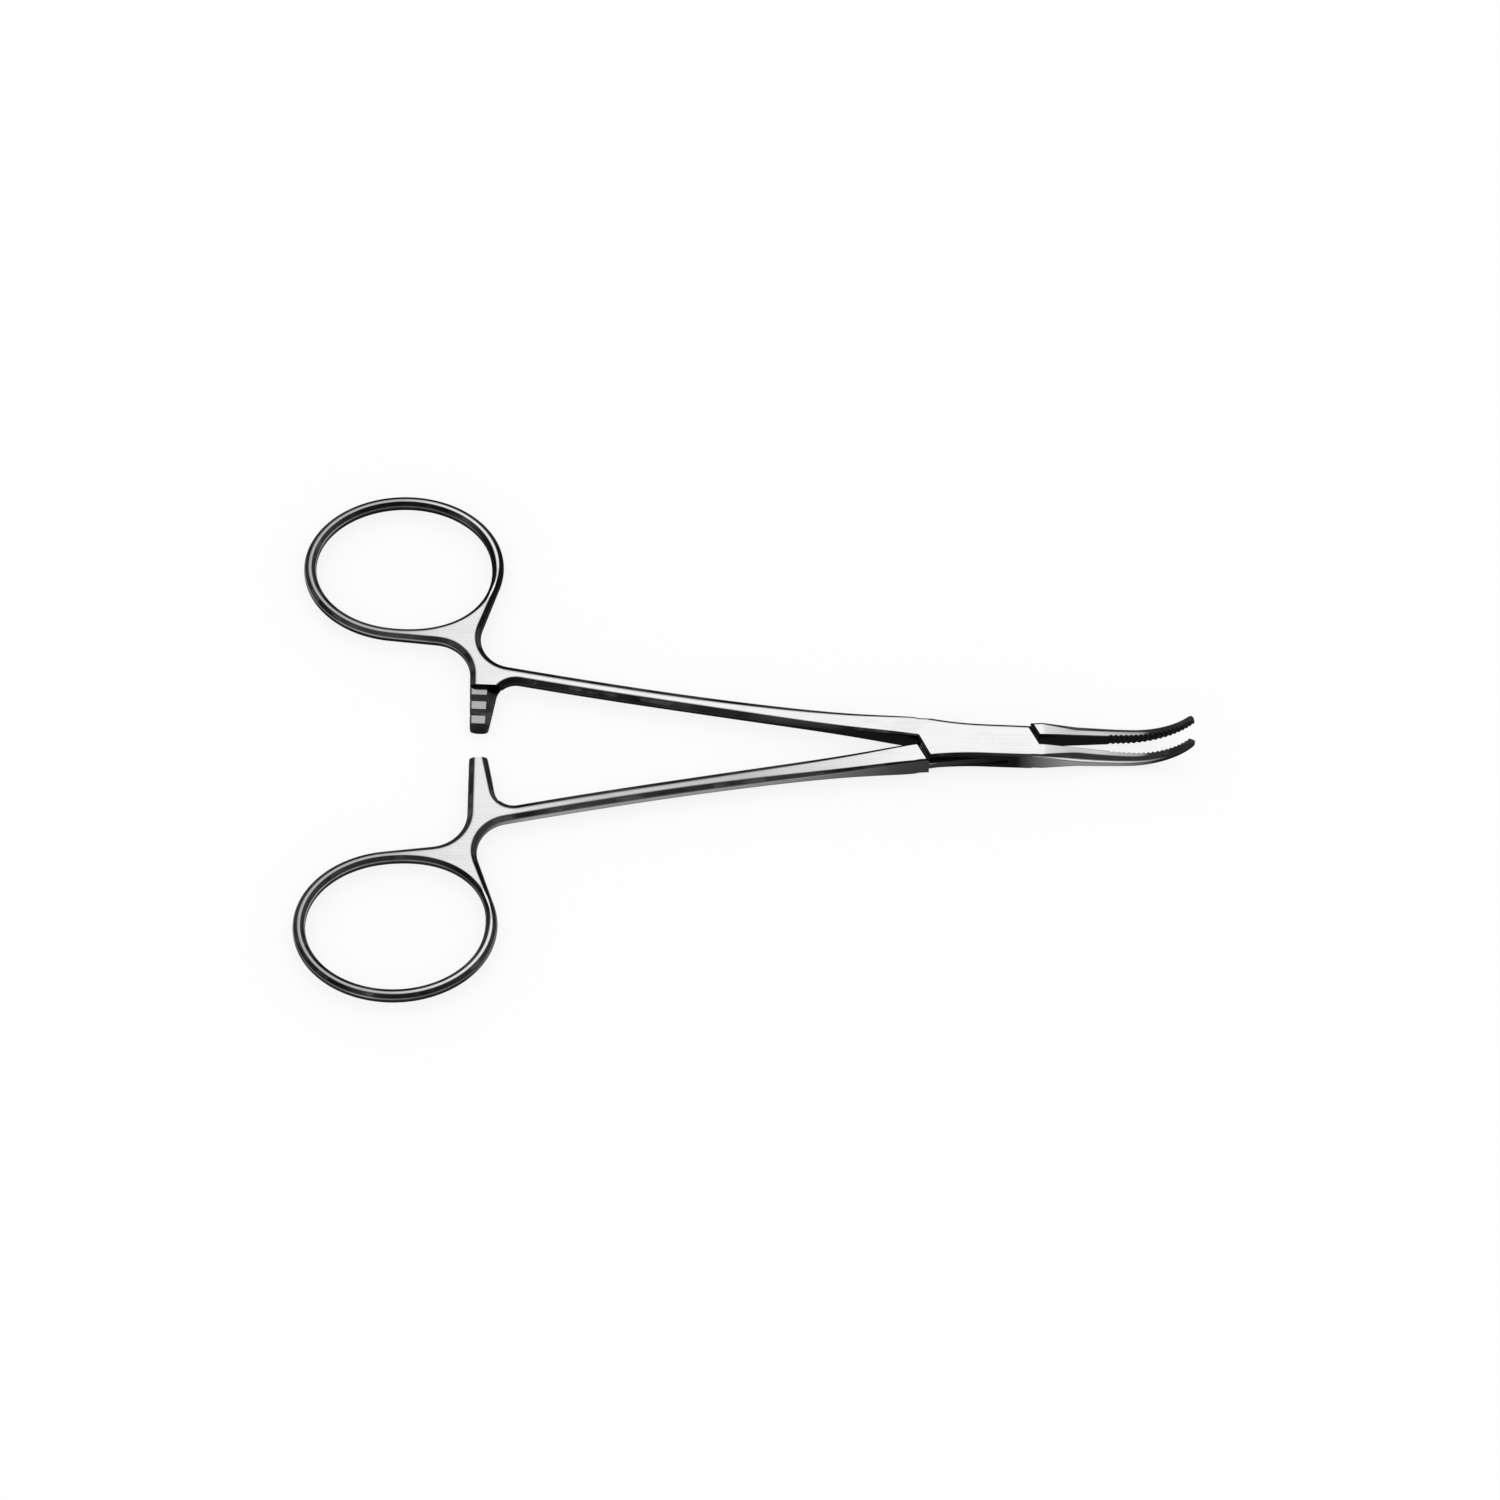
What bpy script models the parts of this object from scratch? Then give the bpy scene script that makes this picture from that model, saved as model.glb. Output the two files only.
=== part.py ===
"""Curved box-lock haemostatic forceps, 140 mm long, built from three forged and turned pieces.

The forceps lies flat. The origin is on the pivot axis, on the surface that the box lock rests on.
+X runs to the jaw tips, +Y to the ring of the female half and +Z up, the way the jaws curve.

Each half is drawn in its closed position, as a toolmaker draws it, about a pivot at (0, 0) and a
mid-plane at z = 0. Both halves share one handle outline: the male handle is the female one turned
half round about the X axis, which also turns its ratchet teeth to face the female ones. The halves
are then swung apart to the half-open position that the instrument is stored in.
"""

import math
from collections import namedtuple

import bmesh
import bpy
from mathutils import Matrix, Vector

MM = 0.001

# Finger rings
RING_HOLE_END_X = -78.6
RING_Y = 28.1
RING_INNER_LENGTH = 27.6
RING_INNER_WIDTH = 22.3
RING_WIRE = 1.95
RING_TILT_DEG = 1.8
RING_FREE_FROM_DEG = -16.0
RING_FREE_TO_DEG = 264.0
HOLE_BULGE = 0.7
HOLE_BULGE_AT_DEG = 316.0
HOLE_BULGE_REACH_DEG = 56.0

# Shanks: the centre line leaves the crotch of the box and splays outwards in a slow curve
CROTCH_X = -10.4
CROTCH_GAP = 0.30
SHANK_END_X = -73.0
SHANK_SPLAY_AT_BOX_DEG = 4.5
SHANK_SPLAY_AT_RING_DEG = 8.6
SHANK_WIDTH_AT_BOX = 3.4
SHANK_WIDTH_AT_RING = 2.75
SHANK_SLIM_X = -50.0

# Thickness of a handle from ring to box, in Z
RING_THICK = 2.1
BOX_THICK = 4.0
BOX_SHOULDER_X = -11.2
EDGE_ROUND = 0.92
EDGE_ROUND_AT_BOX = 0.3
FLUSH_STEP = 0.04

# Web that joins ring, shank and ratchet arm
OUTER_FILLET = 5.3
RING_FILLET = 6.0
ARM_FILLET = 3.0

# Ratchet arm, one on each half, with teeth that face each other in Z
ARM_BACK_X = -80.3
ARM_FRONT_X = -77.35
ARM_BACK_LEAN_DEG = -3.0
ARM_FRONT_LEAN_DEG = 9.0
ARM_OVERREACH = 0.78
TOOTH_COUNT = 3
TOOTH_PITCH = 2.6
TOOTH_LAND = 1.35
TOOTH_DEPTH = 0.65
TOOTH_BITE = 0.15

# Box lock
BOX_HALF_WIDTH_AT_HANDLE = 3.45
BOX_HALF_WIDTH_AT_PIVOT = 2.8
BOX_HALF_WIDTH_AT_JAW = 2.77
BOX_HANDLE_X = -8.5
BOX_JAW_X = 7.2
BOX_EDGE_ROUND = 0.22
MOUTH_ANGLE_DEG = 26.0
MOUTH_GAP = 0.24
JAW_CROTCH_X = 8.5
WEB_THICK = 1.33
WEB_GAP = 0.12
WEB_SET_BACK = 0.08
SLOT_END_ANGLE_DEG = 25.0
SLOT_END_GAP = 0.15

# Pivot rivet, ground flush on both faces
PIN_RADIUS = 1.2
PIN_SEAT_GAP = 0.02
PIN_RUNNING_GAP = 0.06

# Jaws: D-shaped in section, flat inside, bowed so that the tips meet first
JAW_STRAIGHT_X = 22.6
JAW_BEND_RADIUS = 11.0
JAW_BEND_DEG = 60.0
JAW_TIP_GAP = 0.12
JAW_BOW = 0.38
JAW_BACK_AT_ROOT = 2.73
JAW_BACK_AT_TIP = 1.32
JAW_ROUND_FROM_X = 9.0
JAW_ROUND_TO_X = 14.5
JAW_THICK_AT_BEND = 2.4
JAW_THICK_AT_TIP = 1.15
JAW_ROOT_ROUND = 0.5
JAW_INNER_EDGE = 0.12
JAW_BACK_ROUND = 0.62
JAW_SIDE_ROUND = 0.92
SERRATION_LENGTH = 14.2
SERRATION_PITCH = 0.8
SERRATION_DEPTH = 0.22
TIP_ROUND = 0.45

# Stored position: each half swings this far from closed
REST_SWING_DEG = 2.5

# How finely curves are divided
RING_STEPS = 46
RING_INNER_STEPS = 14
FILLET_STEPS = 8
SHANK_STEPS = 16
ROUND_STEPS = 3
JAW_BACK_STEPS = 4
PIN_STEPS = 40
BOX_SIDE_STEPS = 6

STEEL = {"color": (0.80, 0.81, 0.82, 1.0), "roughness": 0.12, "metallic": 1.0}

Handle = namedtuple("Handle", "outline hole ring_count rail_count rail_start")


def steel(name, **changes):
    """Polished stainless steel, its values changed for one piece where asked."""
    values = {**STEEL, **changes}
    material = bpy.data.materials.new(name)
    material.use_nodes = True
    shader = material.node_tree.nodes["Principled BSDF"]
    shader.inputs["Base Color"].default_value = values["color"]
    shader.inputs["Roughness"].default_value = values["roughness"]
    shader.inputs["Metallic"].default_value = values["metallic"]
    return material


def mix(a, b, share):
    return a + (b - a) * share


def unit(degrees):
    """Direction in plan at this angle from +X."""
    return Vector((math.cos(math.radians(degrees)), math.sin(math.radians(degrees))))


def crossing(point_a, way_a, point_b, way_b):
    """Where two lines in plan meet, each given by a point and a direction."""
    along = (point_b - point_a).cross(way_b) / way_a.cross(way_b)
    return point_a + way_a * along


def fillet(before, corner, after, radius):
    """Points of the arc that rounds a corner between two straight runs."""
    back, ahead = (before - corner).normalized(), (after - corner).normalized()
    half_angle = back.angle(ahead) / 2
    centre = corner + (back + ahead).normalized() * (radius / math.sin(half_angle))
    start = corner + back * (radius / math.tan(half_angle)) - centre
    sweep = math.pi - 2 * half_angle
    if back.cross(ahead) > 0:
        sweep = -sweep
    steps = range(FILLET_STEPS + 1)
    return [centre + Matrix.Rotation(sweep * i / FILLET_STEPS, 2) @ start for i in steps]


def offset_loop(points, insets):
    """A closed loop moved sideways, to its left, by an inset for each point, with its corners kept."""
    moved = []
    for i, point in enumerate(points):
        ahead = (points[(i + 1) % len(points)] - point).normalized()
        behind = (point - points[i - 1]).normalized()
        left = Vector((-(ahead + behind).y, (ahead + behind).x)).normalized()
        moved.append(point + left * (insets[i] / left.dot(Vector((-ahead.y, ahead.x)))))
    return moved


def ring_point(radius_gain, degrees):
    """A point on the ring's inner ellipse, or on one larger all round by radius_gain."""
    across = RING_INNER_LENGTH / 2 + radius_gain
    up = RING_INNER_WIDTH / 2 + radius_gain
    on_axis = Vector((across * math.cos(math.radians(degrees)), up * math.sin(math.radians(degrees))))
    centre = Vector((RING_HOLE_END_X - RING_INNER_LENGTH / 2, RING_Y))
    return centre + Matrix.Rotation(math.radians(RING_TILT_DEG), 2) @ on_axis


def shank_centre(x):
    """The shank's centre line in plan: its height at x."""
    start = CROTCH_GAP / 2 + SHANK_WIDTH_AT_BOX / 2
    run, length = CROTCH_X - x, CROTCH_X - SHANK_END_X
    first, last = (math.tan(math.radians(a)) for a in (SHANK_SPLAY_AT_BOX_DEG, SHANK_SPLAY_AT_RING_DEG))
    return start + first * run + (last - first) * run * run / (2 * length)


def shank_width(x):
    """Slim along the finger end, swelling into the box."""
    share = max(0.0, (x - SHANK_SLIM_X) / (CROTCH_X - SHANK_SLIM_X))
    return mix(SHANK_WIDTH_AT_RING, SHANK_WIDTH_AT_BOX, share**1.5)


def handle_half_thickness(x):
    """Half the handle's thickness at x: even along ring and web, then rising ever faster to the box."""
    share = min(1.0, max(0.0, (x - SHANK_SLIM_X) / (BOX_SHOULDER_X - SHANK_SLIM_X)))
    return mix(RING_THICK, BOX_THICK - FLUSH_STEP, share**4) / 2


def handle_edge_round(x):
    """How round the handle's rims are at x: full along ring and shank, crisper where they run into the box."""
    share = min(1.0, max(0.0, (x - SHANK_SLIM_X) / (BOX_SHOULDER_X - SHANK_SLIM_X)))
    return mix(EDGE_ROUND, EDGE_ROUND_AT_BOX, share**2)


def hole_point(degrees):
    """A point on the ring's hole, which bulges a little into the web where the ring joins it."""
    off = abs((degrees - HOLE_BULGE_AT_DEG + 180) % 360 - 180)
    away = min(90.0, off * 90 / HOLE_BULGE_REACH_DEG)
    return ring_point(HOLE_BULGE * math.cos(math.radians(away)) ** 2, degrees)


def handle_plan():
    """Outline of ring, web, ratchet arm and shank as one forging, and the ring's hole."""
    sweep = RING_FREE_TO_DEG - RING_FREE_FROM_DEG
    free = [RING_FREE_FROM_DEG + sweep * i / RING_STEPS for i in range(RING_STEPS + 1)]
    ring = [ring_point(RING_WIRE, a) for a in free]
    closing = [free[-1] + (360 - sweep) * i / RING_INNER_STEPS for i in range(1, RING_INNER_STEPS)]
    hole = [hole_point(a) for a in free + closing]

    closer = [1 - (1 - i / SHANK_STEPS) ** 1.5 for i in range(SHANK_STEPS + 1)]
    rail_x = [mix(SHANK_END_X, BOX_SHOULDER_X, share) for share in closer] + [CROTCH_X]
    inner_rail = [Vector((x, shank_centre(x) - shank_width(x) / 2)) for x in rail_x]
    outer_rail = [Vector((x, shank_centre(x) + shank_width(x) / 2)) for x in rail_x]
    outer_rail[-1].y = box_half_width(CROTCH_X) - FLUSH_STEP / 2
    nose_x = CROTCH_X + SHANK_WIDTH_AT_BOX / 2
    inner_rail.append(Vector((nose_x, SHANK_WIDTH_AT_BOX / 4)))
    outer_rail.append(Vector((nose_x, box_half_width(nose_x) - FLUSH_STEP)))

    arm_back = Vector((ARM_BACK_X, -ARM_OVERREACH))
    arm_front = Vector((ARM_FRONT_X, -ARM_OVERREACH))
    up_back, up_front = unit(90 - ARM_BACK_LEAN_DEG), unit(90 - ARM_FRONT_LEAN_DEG)
    spare = RING_THICK
    ring_corner = crossing(ring[-1], ring[-1] - ring[-2], arm_back, up_back)
    arm_corner = crossing(arm_front, up_front, inner_rail[0], inner_rail[1] - inner_rail[0])
    outer_corner = crossing(outer_rail[0], outer_rail[1] - outer_rail[0], ring[0], ring[1] - ring[0])

    outline = list(ring)
    outline += fillet(ring[-1], ring_corner, arm_back, RING_FILLET)
    outline += [arm_back - up_back * spare, arm_front - up_front * spare]
    outline += fillet(arm_front, arm_corner, inner_rail[0], ARM_FILLET)
    rail_start = len(outline)
    outline += inner_rail + outer_rail[::-1]
    outline += fillet(outer_rail[0], outer_corner, ring[0], OUTER_FILLET)
    return Handle(outline, hole, len(ring), len(inner_rail), rail_start)


def rim_levels():
    """Inset and drop of each contour of a rim of radius 1, from the flat face to the upright side."""
    angles = [math.pi / 2 * (1 - i / ROUND_STEPS) for i in range(ROUND_STEPS + 1)]
    return [(1 - math.cos(a), 1 - math.sin(a)) for a in angles]


def rim_contours(mesh, loop, side, half_at, round_at):
    """The contours round one edge loop, from the top face over the rim and down to the bottom face."""
    rounds = [round_at(point.x) for point in loop]
    levels = rim_levels()
    contours = []
    for sign, ordered in ((1, levels), (-1, levels[::-1])):
        for inset, drop in ordered:
            points = offset_loop(loop, [side * inset * edge for edge in rounds])
            placed = [(p.x, p.y, sign * (half_at(p.x) - drop * edge)) for p, edge in zip(points, rounds)]
            contours.append([mesh.verts.new(place) for place in placed])
    for upper, lower in zip(contours, contours[1:]):
        for i in range(len(loop)):
            mesh.faces.new((upper[i - 1], upper[i], lower[i], lower[i - 1]))
    return contours


def finished(mesh, name):
    """A scene object in metres from a bmesh in millimetres, normals outwards and shaded smooth."""
    bmesh.ops.recalc_face_normals(mesh, faces=mesh.faces)
    if mesh.calc_volume(signed=True) < 0:
        bmesh.ops.reverse_faces(mesh, faces=mesh.faces)
    bmesh.ops.scale(mesh, vec=(MM, MM, MM), verts=mesh.verts)
    data = bpy.data.meshes.new(name)
    mesh.to_mesh(data)
    mesh.free()
    data.shade_smooth()
    data.set_sharp_from_angle(angle=math.radians(32))
    piece = bpy.data.objects.new(name, data)
    bpy.context.collection.objects.link(piece)
    return piece


def handle_solid(name):
    """Ring, web, ratchet blank and shank: one plate with rounded rims, thicker towards the box."""
    plan = handle_plan()
    mesh = bmesh.new()
    outer = rim_contours(mesh, plan.outline, 1, handle_half_thickness, handle_edge_round)
    hole = rim_contours(mesh, plan.hole, -1, handle_half_thickness, handle_edge_round)
    first, last = plan.rail_start, plan.rail_start + 2 * plan.rail_count - 1
    for rim, bore in ((outer[0], hole[0]), (outer[-1], hole[-1])):
        for i in range(plan.ring_count - 1):
            mesh.faces.new((rim[i], rim[i + 1], bore[i + 1], bore[i]))
        for i in range(plan.rail_count - 1):
            mesh.faces.new((rim[first + i], rim[first + i + 1], rim[last - i - 1], rim[last - i]))
        web = rim[plan.ring_count - 1 : first + 1] + rim[last:] + rim[:1] + bore[:1]
        mesh.faces.new(web + bore[: plan.ring_count - 2 : -1])
    return finished(mesh, name)


def plate_solid(name, outline, half_thick, edge_round):
    """A flat plate with rounded rims."""
    mesh = bmesh.new()
    contours = rim_contours(mesh, outline, 1, lambda x: half_thick, lambda x: edge_round)
    mesh.faces.new(contours[0])
    mesh.faces.new(contours[-1])
    return finished(mesh, name)


def prism_solid(name, outline, low, high):
    """A plan outline drawn straight up from low to high."""
    mesh = bmesh.new()
    base = mesh.faces.new([mesh.verts.new((p.x, p.y, low)) for p in outline])
    raised = bmesh.ops.extrude_face_region(mesh, geom=[base])["geom"]
    bmesh.ops.translate(mesh, vec=(0, 0, high - low), verts=[v for v in raised if isinstance(v, bmesh.types.BMVert)])
    return finished(mesh, name)


def pin_solid(name, radius, half_length):
    """A round pin about the pivot axis."""
    mesh = bmesh.new()
    bmesh.ops.create_cone(
        mesh, cap_ends=True, segments=PIN_STEPS, radius1=radius, radius2=radius, depth=2 * half_length
    )
    return finished(mesh, name)


def box_half_width(x):
    """Half width of the box: waisted at the pivot, wider at its handle end and its jaw end."""
    if x < 0:
        return mix(BOX_HALF_WIDTH_AT_PIVOT, BOX_HALF_WIDTH_AT_HANDLE, min(1.0, x / BOX_HANDLE_X) ** 2)
    return mix(BOX_HALF_WIDTH_AT_PIVOT, BOX_HALF_WIDTH_AT_JAW, min(1.0, x / BOX_JAW_X) ** 2)


def box_side(x_from, x_to, sign, set_back=0.0):
    """Points along one long side of the box, set back from it where asked."""
    steps = [mix(x_from, x_to, i / BOX_SIDE_STEPS) for i in range(BOX_SIDE_STEPS + 1)]
    return [Vector((x, sign * (box_half_width(x) - set_back))) for x in steps]


def handle_mouth(y, gap=0.0):
    """The slanted mouth at the handle end: the point at this y, moved out from the box by gap."""
    lean = math.tan(math.radians(MOUTH_ANGLE_DEG))
    return Vector((CROTCH_X - (y - CROTCH_GAP / 2) * lean - gap / math.cos(math.radians(MOUTH_ANGLE_DEG)), y))


def jaw_mouth(y, gap=0.0):
    """The slanted mouth at the jaw end, in the same way."""
    lean = math.tan(math.radians(MOUTH_ANGLE_DEG))
    crotch_y = -jaw_inner(JAW_CROTCH_X)
    return Vector((JAW_CROTCH_X - (y - crotch_y) * lean + gap / math.cos(math.radians(MOUTH_ANGLE_DEG)), y))


def slot_end(towards, y, gap=0.0):
    """The slanted end wall of the slot, at the handle end (-1) or the jaw end (+1), moved inwards by gap."""
    way = unit(SLOT_END_ANGLE_DEG)
    inwards = Vector((-way.y, way.x)) * towards
    if towards < 0:
        base = Vector((CROTCH_X - SLOT_END_GAP, 0.0))
    else:
        base = Vector((JAW_CROTCH_X + SLOT_END_GAP, -jaw_inner(JAW_CROTCH_X)))
    start = base + inwards * gap
    return start + way * ((y - start.y) / way.y)


def box_block(name):
    """The female box before it is slotted: two mouths, two waisted sides and a root in its shank and jaw."""
    foot = handle_mouth(-BOX_HALF_WIDTH_AT_HANDLE)
    brow = jaw_mouth(BOX_HALF_WIDTH_AT_JAW)
    root_y = shank_centre(BOX_SHOULDER_X)
    root_half = shank_width(BOX_SHOULDER_X) / 2 - 2 * EDGE_ROUND_AT_BOX
    outline = box_side(foot.x, BOX_JAW_X, -1)
    outline += [
        Vector((JAW_CROTCH_X + BOX_EDGE_ROUND, -JAW_BACK_AT_ROOT + 2 * BOX_EDGE_ROUND)),
        Vector((JAW_CROTCH_X + BOX_EDGE_ROUND, -jaw_inner(JAW_CROTCH_X) - BOX_EDGE_ROUND)),
        jaw_mouth(-jaw_inner(JAW_CROTCH_X)),
    ]
    outline += box_side(brow.x, CROTCH_X, 1)
    outline += [
        Vector((BOX_SHOULDER_X, root_y + root_half)),
        Vector((BOX_SHOULDER_X, root_y - root_half)),
        handle_mouth(CROTCH_GAP / 2),
    ]
    return plate_solid(name, outline, BOX_THICK / 2, BOX_EDGE_ROUND)


def slot_cutter(name):
    """The slot through the box that the male web turns in, open on both long sides."""
    reach = 2 * BOX_HALF_WIDTH_AT_HANDLE
    half = WEB_THICK / 2 + WEB_GAP
    outline = [slot_end(-1, reach), slot_end(-1, -reach), slot_end(1, -reach), slot_end(1, reach)]
    return prism_solid(name, outline, -half, half)


def lock_envelope(name):
    """The room that the female box takes up, mouth to mouth: the male half is full thickness only outside it."""
    reach = 3 * BOX_HALF_WIDTH_AT_HANDLE
    outline = [
        handle_mouth(-reach, MOUTH_GAP),
        jaw_mouth(-reach, MOUTH_GAP),
        jaw_mouth(reach, MOUTH_GAP),
        handle_mouth(reach, MOUTH_GAP),
    ]
    return prism_solid(name, outline, -BOX_THICK, BOX_THICK)


def male_web(name):
    """The thin web of the male half, which passes through the slot and joins its shank to its jaw."""
    foot = handle_mouth(-BOX_HALF_WIDTH_AT_HANDLE)
    brow = jaw_mouth(BOX_HALF_WIDTH_AT_JAW)
    gap = SLOT_END_GAP
    low = slot_end(1, -box_half_width(BOX_JAW_X) + WEB_SET_BACK, gap)
    high = slot_end(-1, box_half_width(-BOX_JAW_X) - WEB_SET_BACK, gap)
    root_x = CROTCH_X - WEB_THICK
    root_y = shank_centre(root_x)
    root_half = shank_width(root_x) / 2 - WEB_THICK / 4
    jaw_x = JAW_CROTCH_X + WEB_THICK
    outline = [Vector((root_x, -root_y - root_half))]
    outline += box_side(foot.x, low.x, -1, WEB_SET_BACK)
    outline += [
        slot_end(1, -jaw_inner(JAW_CROTCH_X), gap + MOUTH_GAP),
        jaw_mouth(jaw_inner(JAW_CROTCH_X), -MOUTH_GAP),
        Vector((jaw_x, jaw_inner(jaw_x) + WEB_THICK / 4)),
        Vector((jaw_x, JAW_BACK_AT_ROOT - WEB_THICK / 2)),
    ]
    outline += box_side(brow.x, high.x, 1, WEB_SET_BACK)
    outline += [slot_end(-1, -CROTCH_GAP / 2, gap), Vector((root_x, -root_y + root_half))]
    return prism_solid(name, outline, -WEB_THICK / 2, WEB_THICK / 2)


def jaw_share(x):
    """0 at the jaw's root and 1 at its tip, along X."""
    tip_x = JAW_STRAIGHT_X + JAW_BEND_RADIUS * math.sin(math.radians(JAW_BEND_DEG))
    return max(0.0, (x - JAW_CROTCH_X) / (tip_x - JAW_CROTCH_X))


def jaw_inner(x):
    """Distance of a closed jaw's flat face from the line where the two jaws meet."""
    return JAW_TIP_GAP / 2 + JAW_BOW * (1 - jaw_share(x) ** 5)


def jaw_back(x):
    """Distance of a closed jaw's back from the same line."""
    return mix(JAW_BACK_AT_ROOT, JAW_BACK_AT_TIP, jaw_share(x) ** 1.3)


def jaw_length():
    """Length of the jaw's centre line from where it starts to bend."""
    return JAW_BEND_RADIUS * math.radians(JAW_BEND_DEG)


def jaw_frame(run):
    """Centre line of the jaw at this run past the start of the bend: place in X and Z, and lean.

    The straight part keeps its underside level with the box, so its centre line sinks as it thins.
    """
    if run <= 0:
        return JAW_STRAIGHT_X + run, (jaw_thickness(run) - BOX_THICK + FLUSH_STEP) / 2, 0.0
    lean = run / JAW_BEND_RADIUS
    sunk = (JAW_THICK_AT_BEND - BOX_THICK + FLUSH_STEP) / 2
    return (
        JAW_STRAIGHT_X + JAW_BEND_RADIUS * math.sin(lean),
        JAW_BEND_RADIUS * (1 - math.cos(lean)) + sunk,
        lean,
    )


def jaw_thickness(run):
    """Thickness of the jaw: falling quickly from the box's, then evenly round the bend to the tip's."""
    if run <= 0:
        share = max(0.0, 1 + run / (JAW_STRAIGHT_X - JAW_ROUND_FROM_X))
        return mix(BOX_THICK - FLUSH_STEP, JAW_THICK_AT_BEND, 1 - (1 - share) ** 1.6)
    return mix(JAW_THICK_AT_BEND, JAW_THICK_AT_TIP, run / jaw_length())


def jaw_section(run, groove, shrink):
    """One section of the jaw: a flat inner face with eased edges, and a back that turns from square to round.

    groove sets the inner face back, and shrink draws the section in all round, for the blunt tip.
    """
    x, z, lean = jaw_frame(run)
    half = jaw_thickness(run) / 2 - shrink
    inner, back = jaw_inner(x) + shrink, jaw_back(x) - shrink
    roundness = min(1.0, max(0.0, (x - JAW_ROUND_FROM_X) / (JAW_ROUND_TO_X - JAW_ROUND_FROM_X)))
    ease = min(JAW_INNER_EDGE, (back - inner) / 8)
    radius_y = mix(JAW_ROOT_ROUND, JAW_BACK_ROUND * (back - inner), roundness)
    radius_z = mix(JAW_ROOT_ROUND, JAW_SIDE_ROUND * half, roundness)
    upper = [(inner + groove, half - ease), (inner + groove + ease, half)]
    for i in range(JAW_BACK_STEPS + 1):
        turn = math.pi / 2 * (1 - i / JAW_BACK_STEPS)
        upper.append((back - radius_y * (1 - math.cos(turn)), half - radius_z * (1 - math.sin(turn))))
    profile = upper + [(y, -height) for y, height in upper[::-1]]
    return [Vector((x - h * math.sin(lean), y, z + h * math.cos(lean))) for y, h in profile]


def jaw_stations():
    """Where the jaw's sections stand: run along the centre line, depth of groove and draw-in at the tip."""
    length = jaw_length()
    teeth = round(SERRATION_LENGTH / SERRATION_PITCH)
    serrated_from = length - TIP_ROUND - teeth * SERRATION_PITCH
    root = BOX_JAW_X - 2 * BOX_EDGE_ROUND - JAW_STRAIGHT_X
    plain = [mix(JAW_ROUND_FROM_X, JAW_ROUND_TO_X, i / 4) - JAW_STRAIGHT_X for i in (0, 1, 2, 4, 6)]
    stations = [(run, 0.0, 0.0) for run in [root, *plain] if run < serrated_from - SERRATION_PITCH / 4]
    for i in range(teeth):
        crest = serrated_from + i * SERRATION_PITCH
        stations += [(crest, 0.0, 0.0), (crest + SERRATION_PITCH / 2, SERRATION_DEPTH, 0.0)]
    stations.append((length - TIP_ROUND, 0.0, 0.0))
    for turn in (math.pi / 6, math.pi / 3, math.pi * 0.45):
        stations.append((length - TIP_ROUND * (1 - math.sin(turn)), 0.0, TIP_ROUND * 0.8 * (1 - math.cos(turn))))
    return stations


def jaw_solid(name):
    """The male jaw, on the +Y side, lofted through its sections."""
    mesh = bmesh.new()
    rings = [[mesh.verts.new(p) for p in jaw_section(*station)] for station in jaw_stations()]
    for near, far in zip(rings, rings[1:]):
        for i in range(len(near)):
            mesh.faces.new((near[i - 1], near[i], far[i], far[i - 1]))
    mesh.faces.new(rings[0])
    mesh.faces.new(rings[-1])
    return finished(mesh, name)


def ratchet_cutter(name):
    """What is milled away over the female ratchet arm: a step down from the web, then land and ramp in turn."""
    crest, valley = TOOTH_BITE, TOOTH_BITE - TOOTH_DEPTH
    wall = TOOTH_COUNT * TOOTH_PITCH - ARM_OVERREACH
    top = RING_THICK
    profile = [(wall, top), (wall, crest)]
    for i in range(TOOTH_COUNT):
        start = wall - i * TOOTH_PITCH
        profile += [(start - TOOTH_LAND, crest), (start - TOOTH_PITCH, valley)]
        if i < TOOTH_COUNT - 1:
            profile.append((start - TOOTH_PITCH, crest))
    end = wall - TOOTH_COUNT * TOOTH_PITCH
    profile += [(end, -top), (end - 2 * top, -top), (end - 2 * top, top)]
    mesh = bmesh.new()
    low_x, high_x = ARM_BACK_X - RING_WIRE, SHANK_END_X - ARM_FILLET / 2
    side = mesh.faces.new([mesh.verts.new((low_x, y, z)) for y, z in profile])
    raised = bmesh.ops.extrude_face_region(mesh, geom=[side])["geom"]
    moved = [v for v in raised if isinstance(v, bmesh.types.BMVert)]
    bmesh.ops.translate(mesh, vec=(high_x - low_x, 0, 0), verts=moved)
    return finished(mesh, name)


def turn_over(piece):
    """Turn a piece half round about the X axis, in its mesh."""
    piece.data.transform(Matrix.Rotation(math.pi, 4, "X"))


def combine(base, operation, tool):
    """Add a live Boolean to base. The tool is a guide that follows base and isn't a piece itself."""
    tool.hide_render = True
    tool.display_type = "WIRE"
    tool.parent = base
    change = base.modifiers.new(f"{operation.lower()}_{tool.name}", "BOOLEAN")
    change.object = tool
    change.operation = operation
    change.solver = "EXACT"


def flatten_shading(piece):
    """Let the large flats of a cut piece shade flat and its small roundings carry the turn of the light."""
    change = piece.modifiers.new("flat_shading", "WEIGHTED_NORMAL")
    change.weight = 100


def female_half():
    """Ring, shank, box and the jaw on the far side of the pivot, forged in one and slotted for the web."""
    half = handle_solid("female_half")
    jaw = jaw_solid("female_jaw_form")
    jaw.data.transform(Matrix.Scale(-1, 4, (0, 1, 0)))
    jaw.data.flip_normals()
    combine(half, "DIFFERENCE", ratchet_cutter("female_ratchet_cut"))
    combine(half, "UNION", box_block("box_form"))
    combine(half, "UNION", jaw)
    combine(half, "DIFFERENCE", slot_cutter("slot_cut"))
    combine(half, "DIFFERENCE", pin_solid("pin_seat_cut", PIN_RADIUS + PIN_SEAT_GAP, BOX_THICK))
    flatten_shading(half)
    return half


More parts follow.
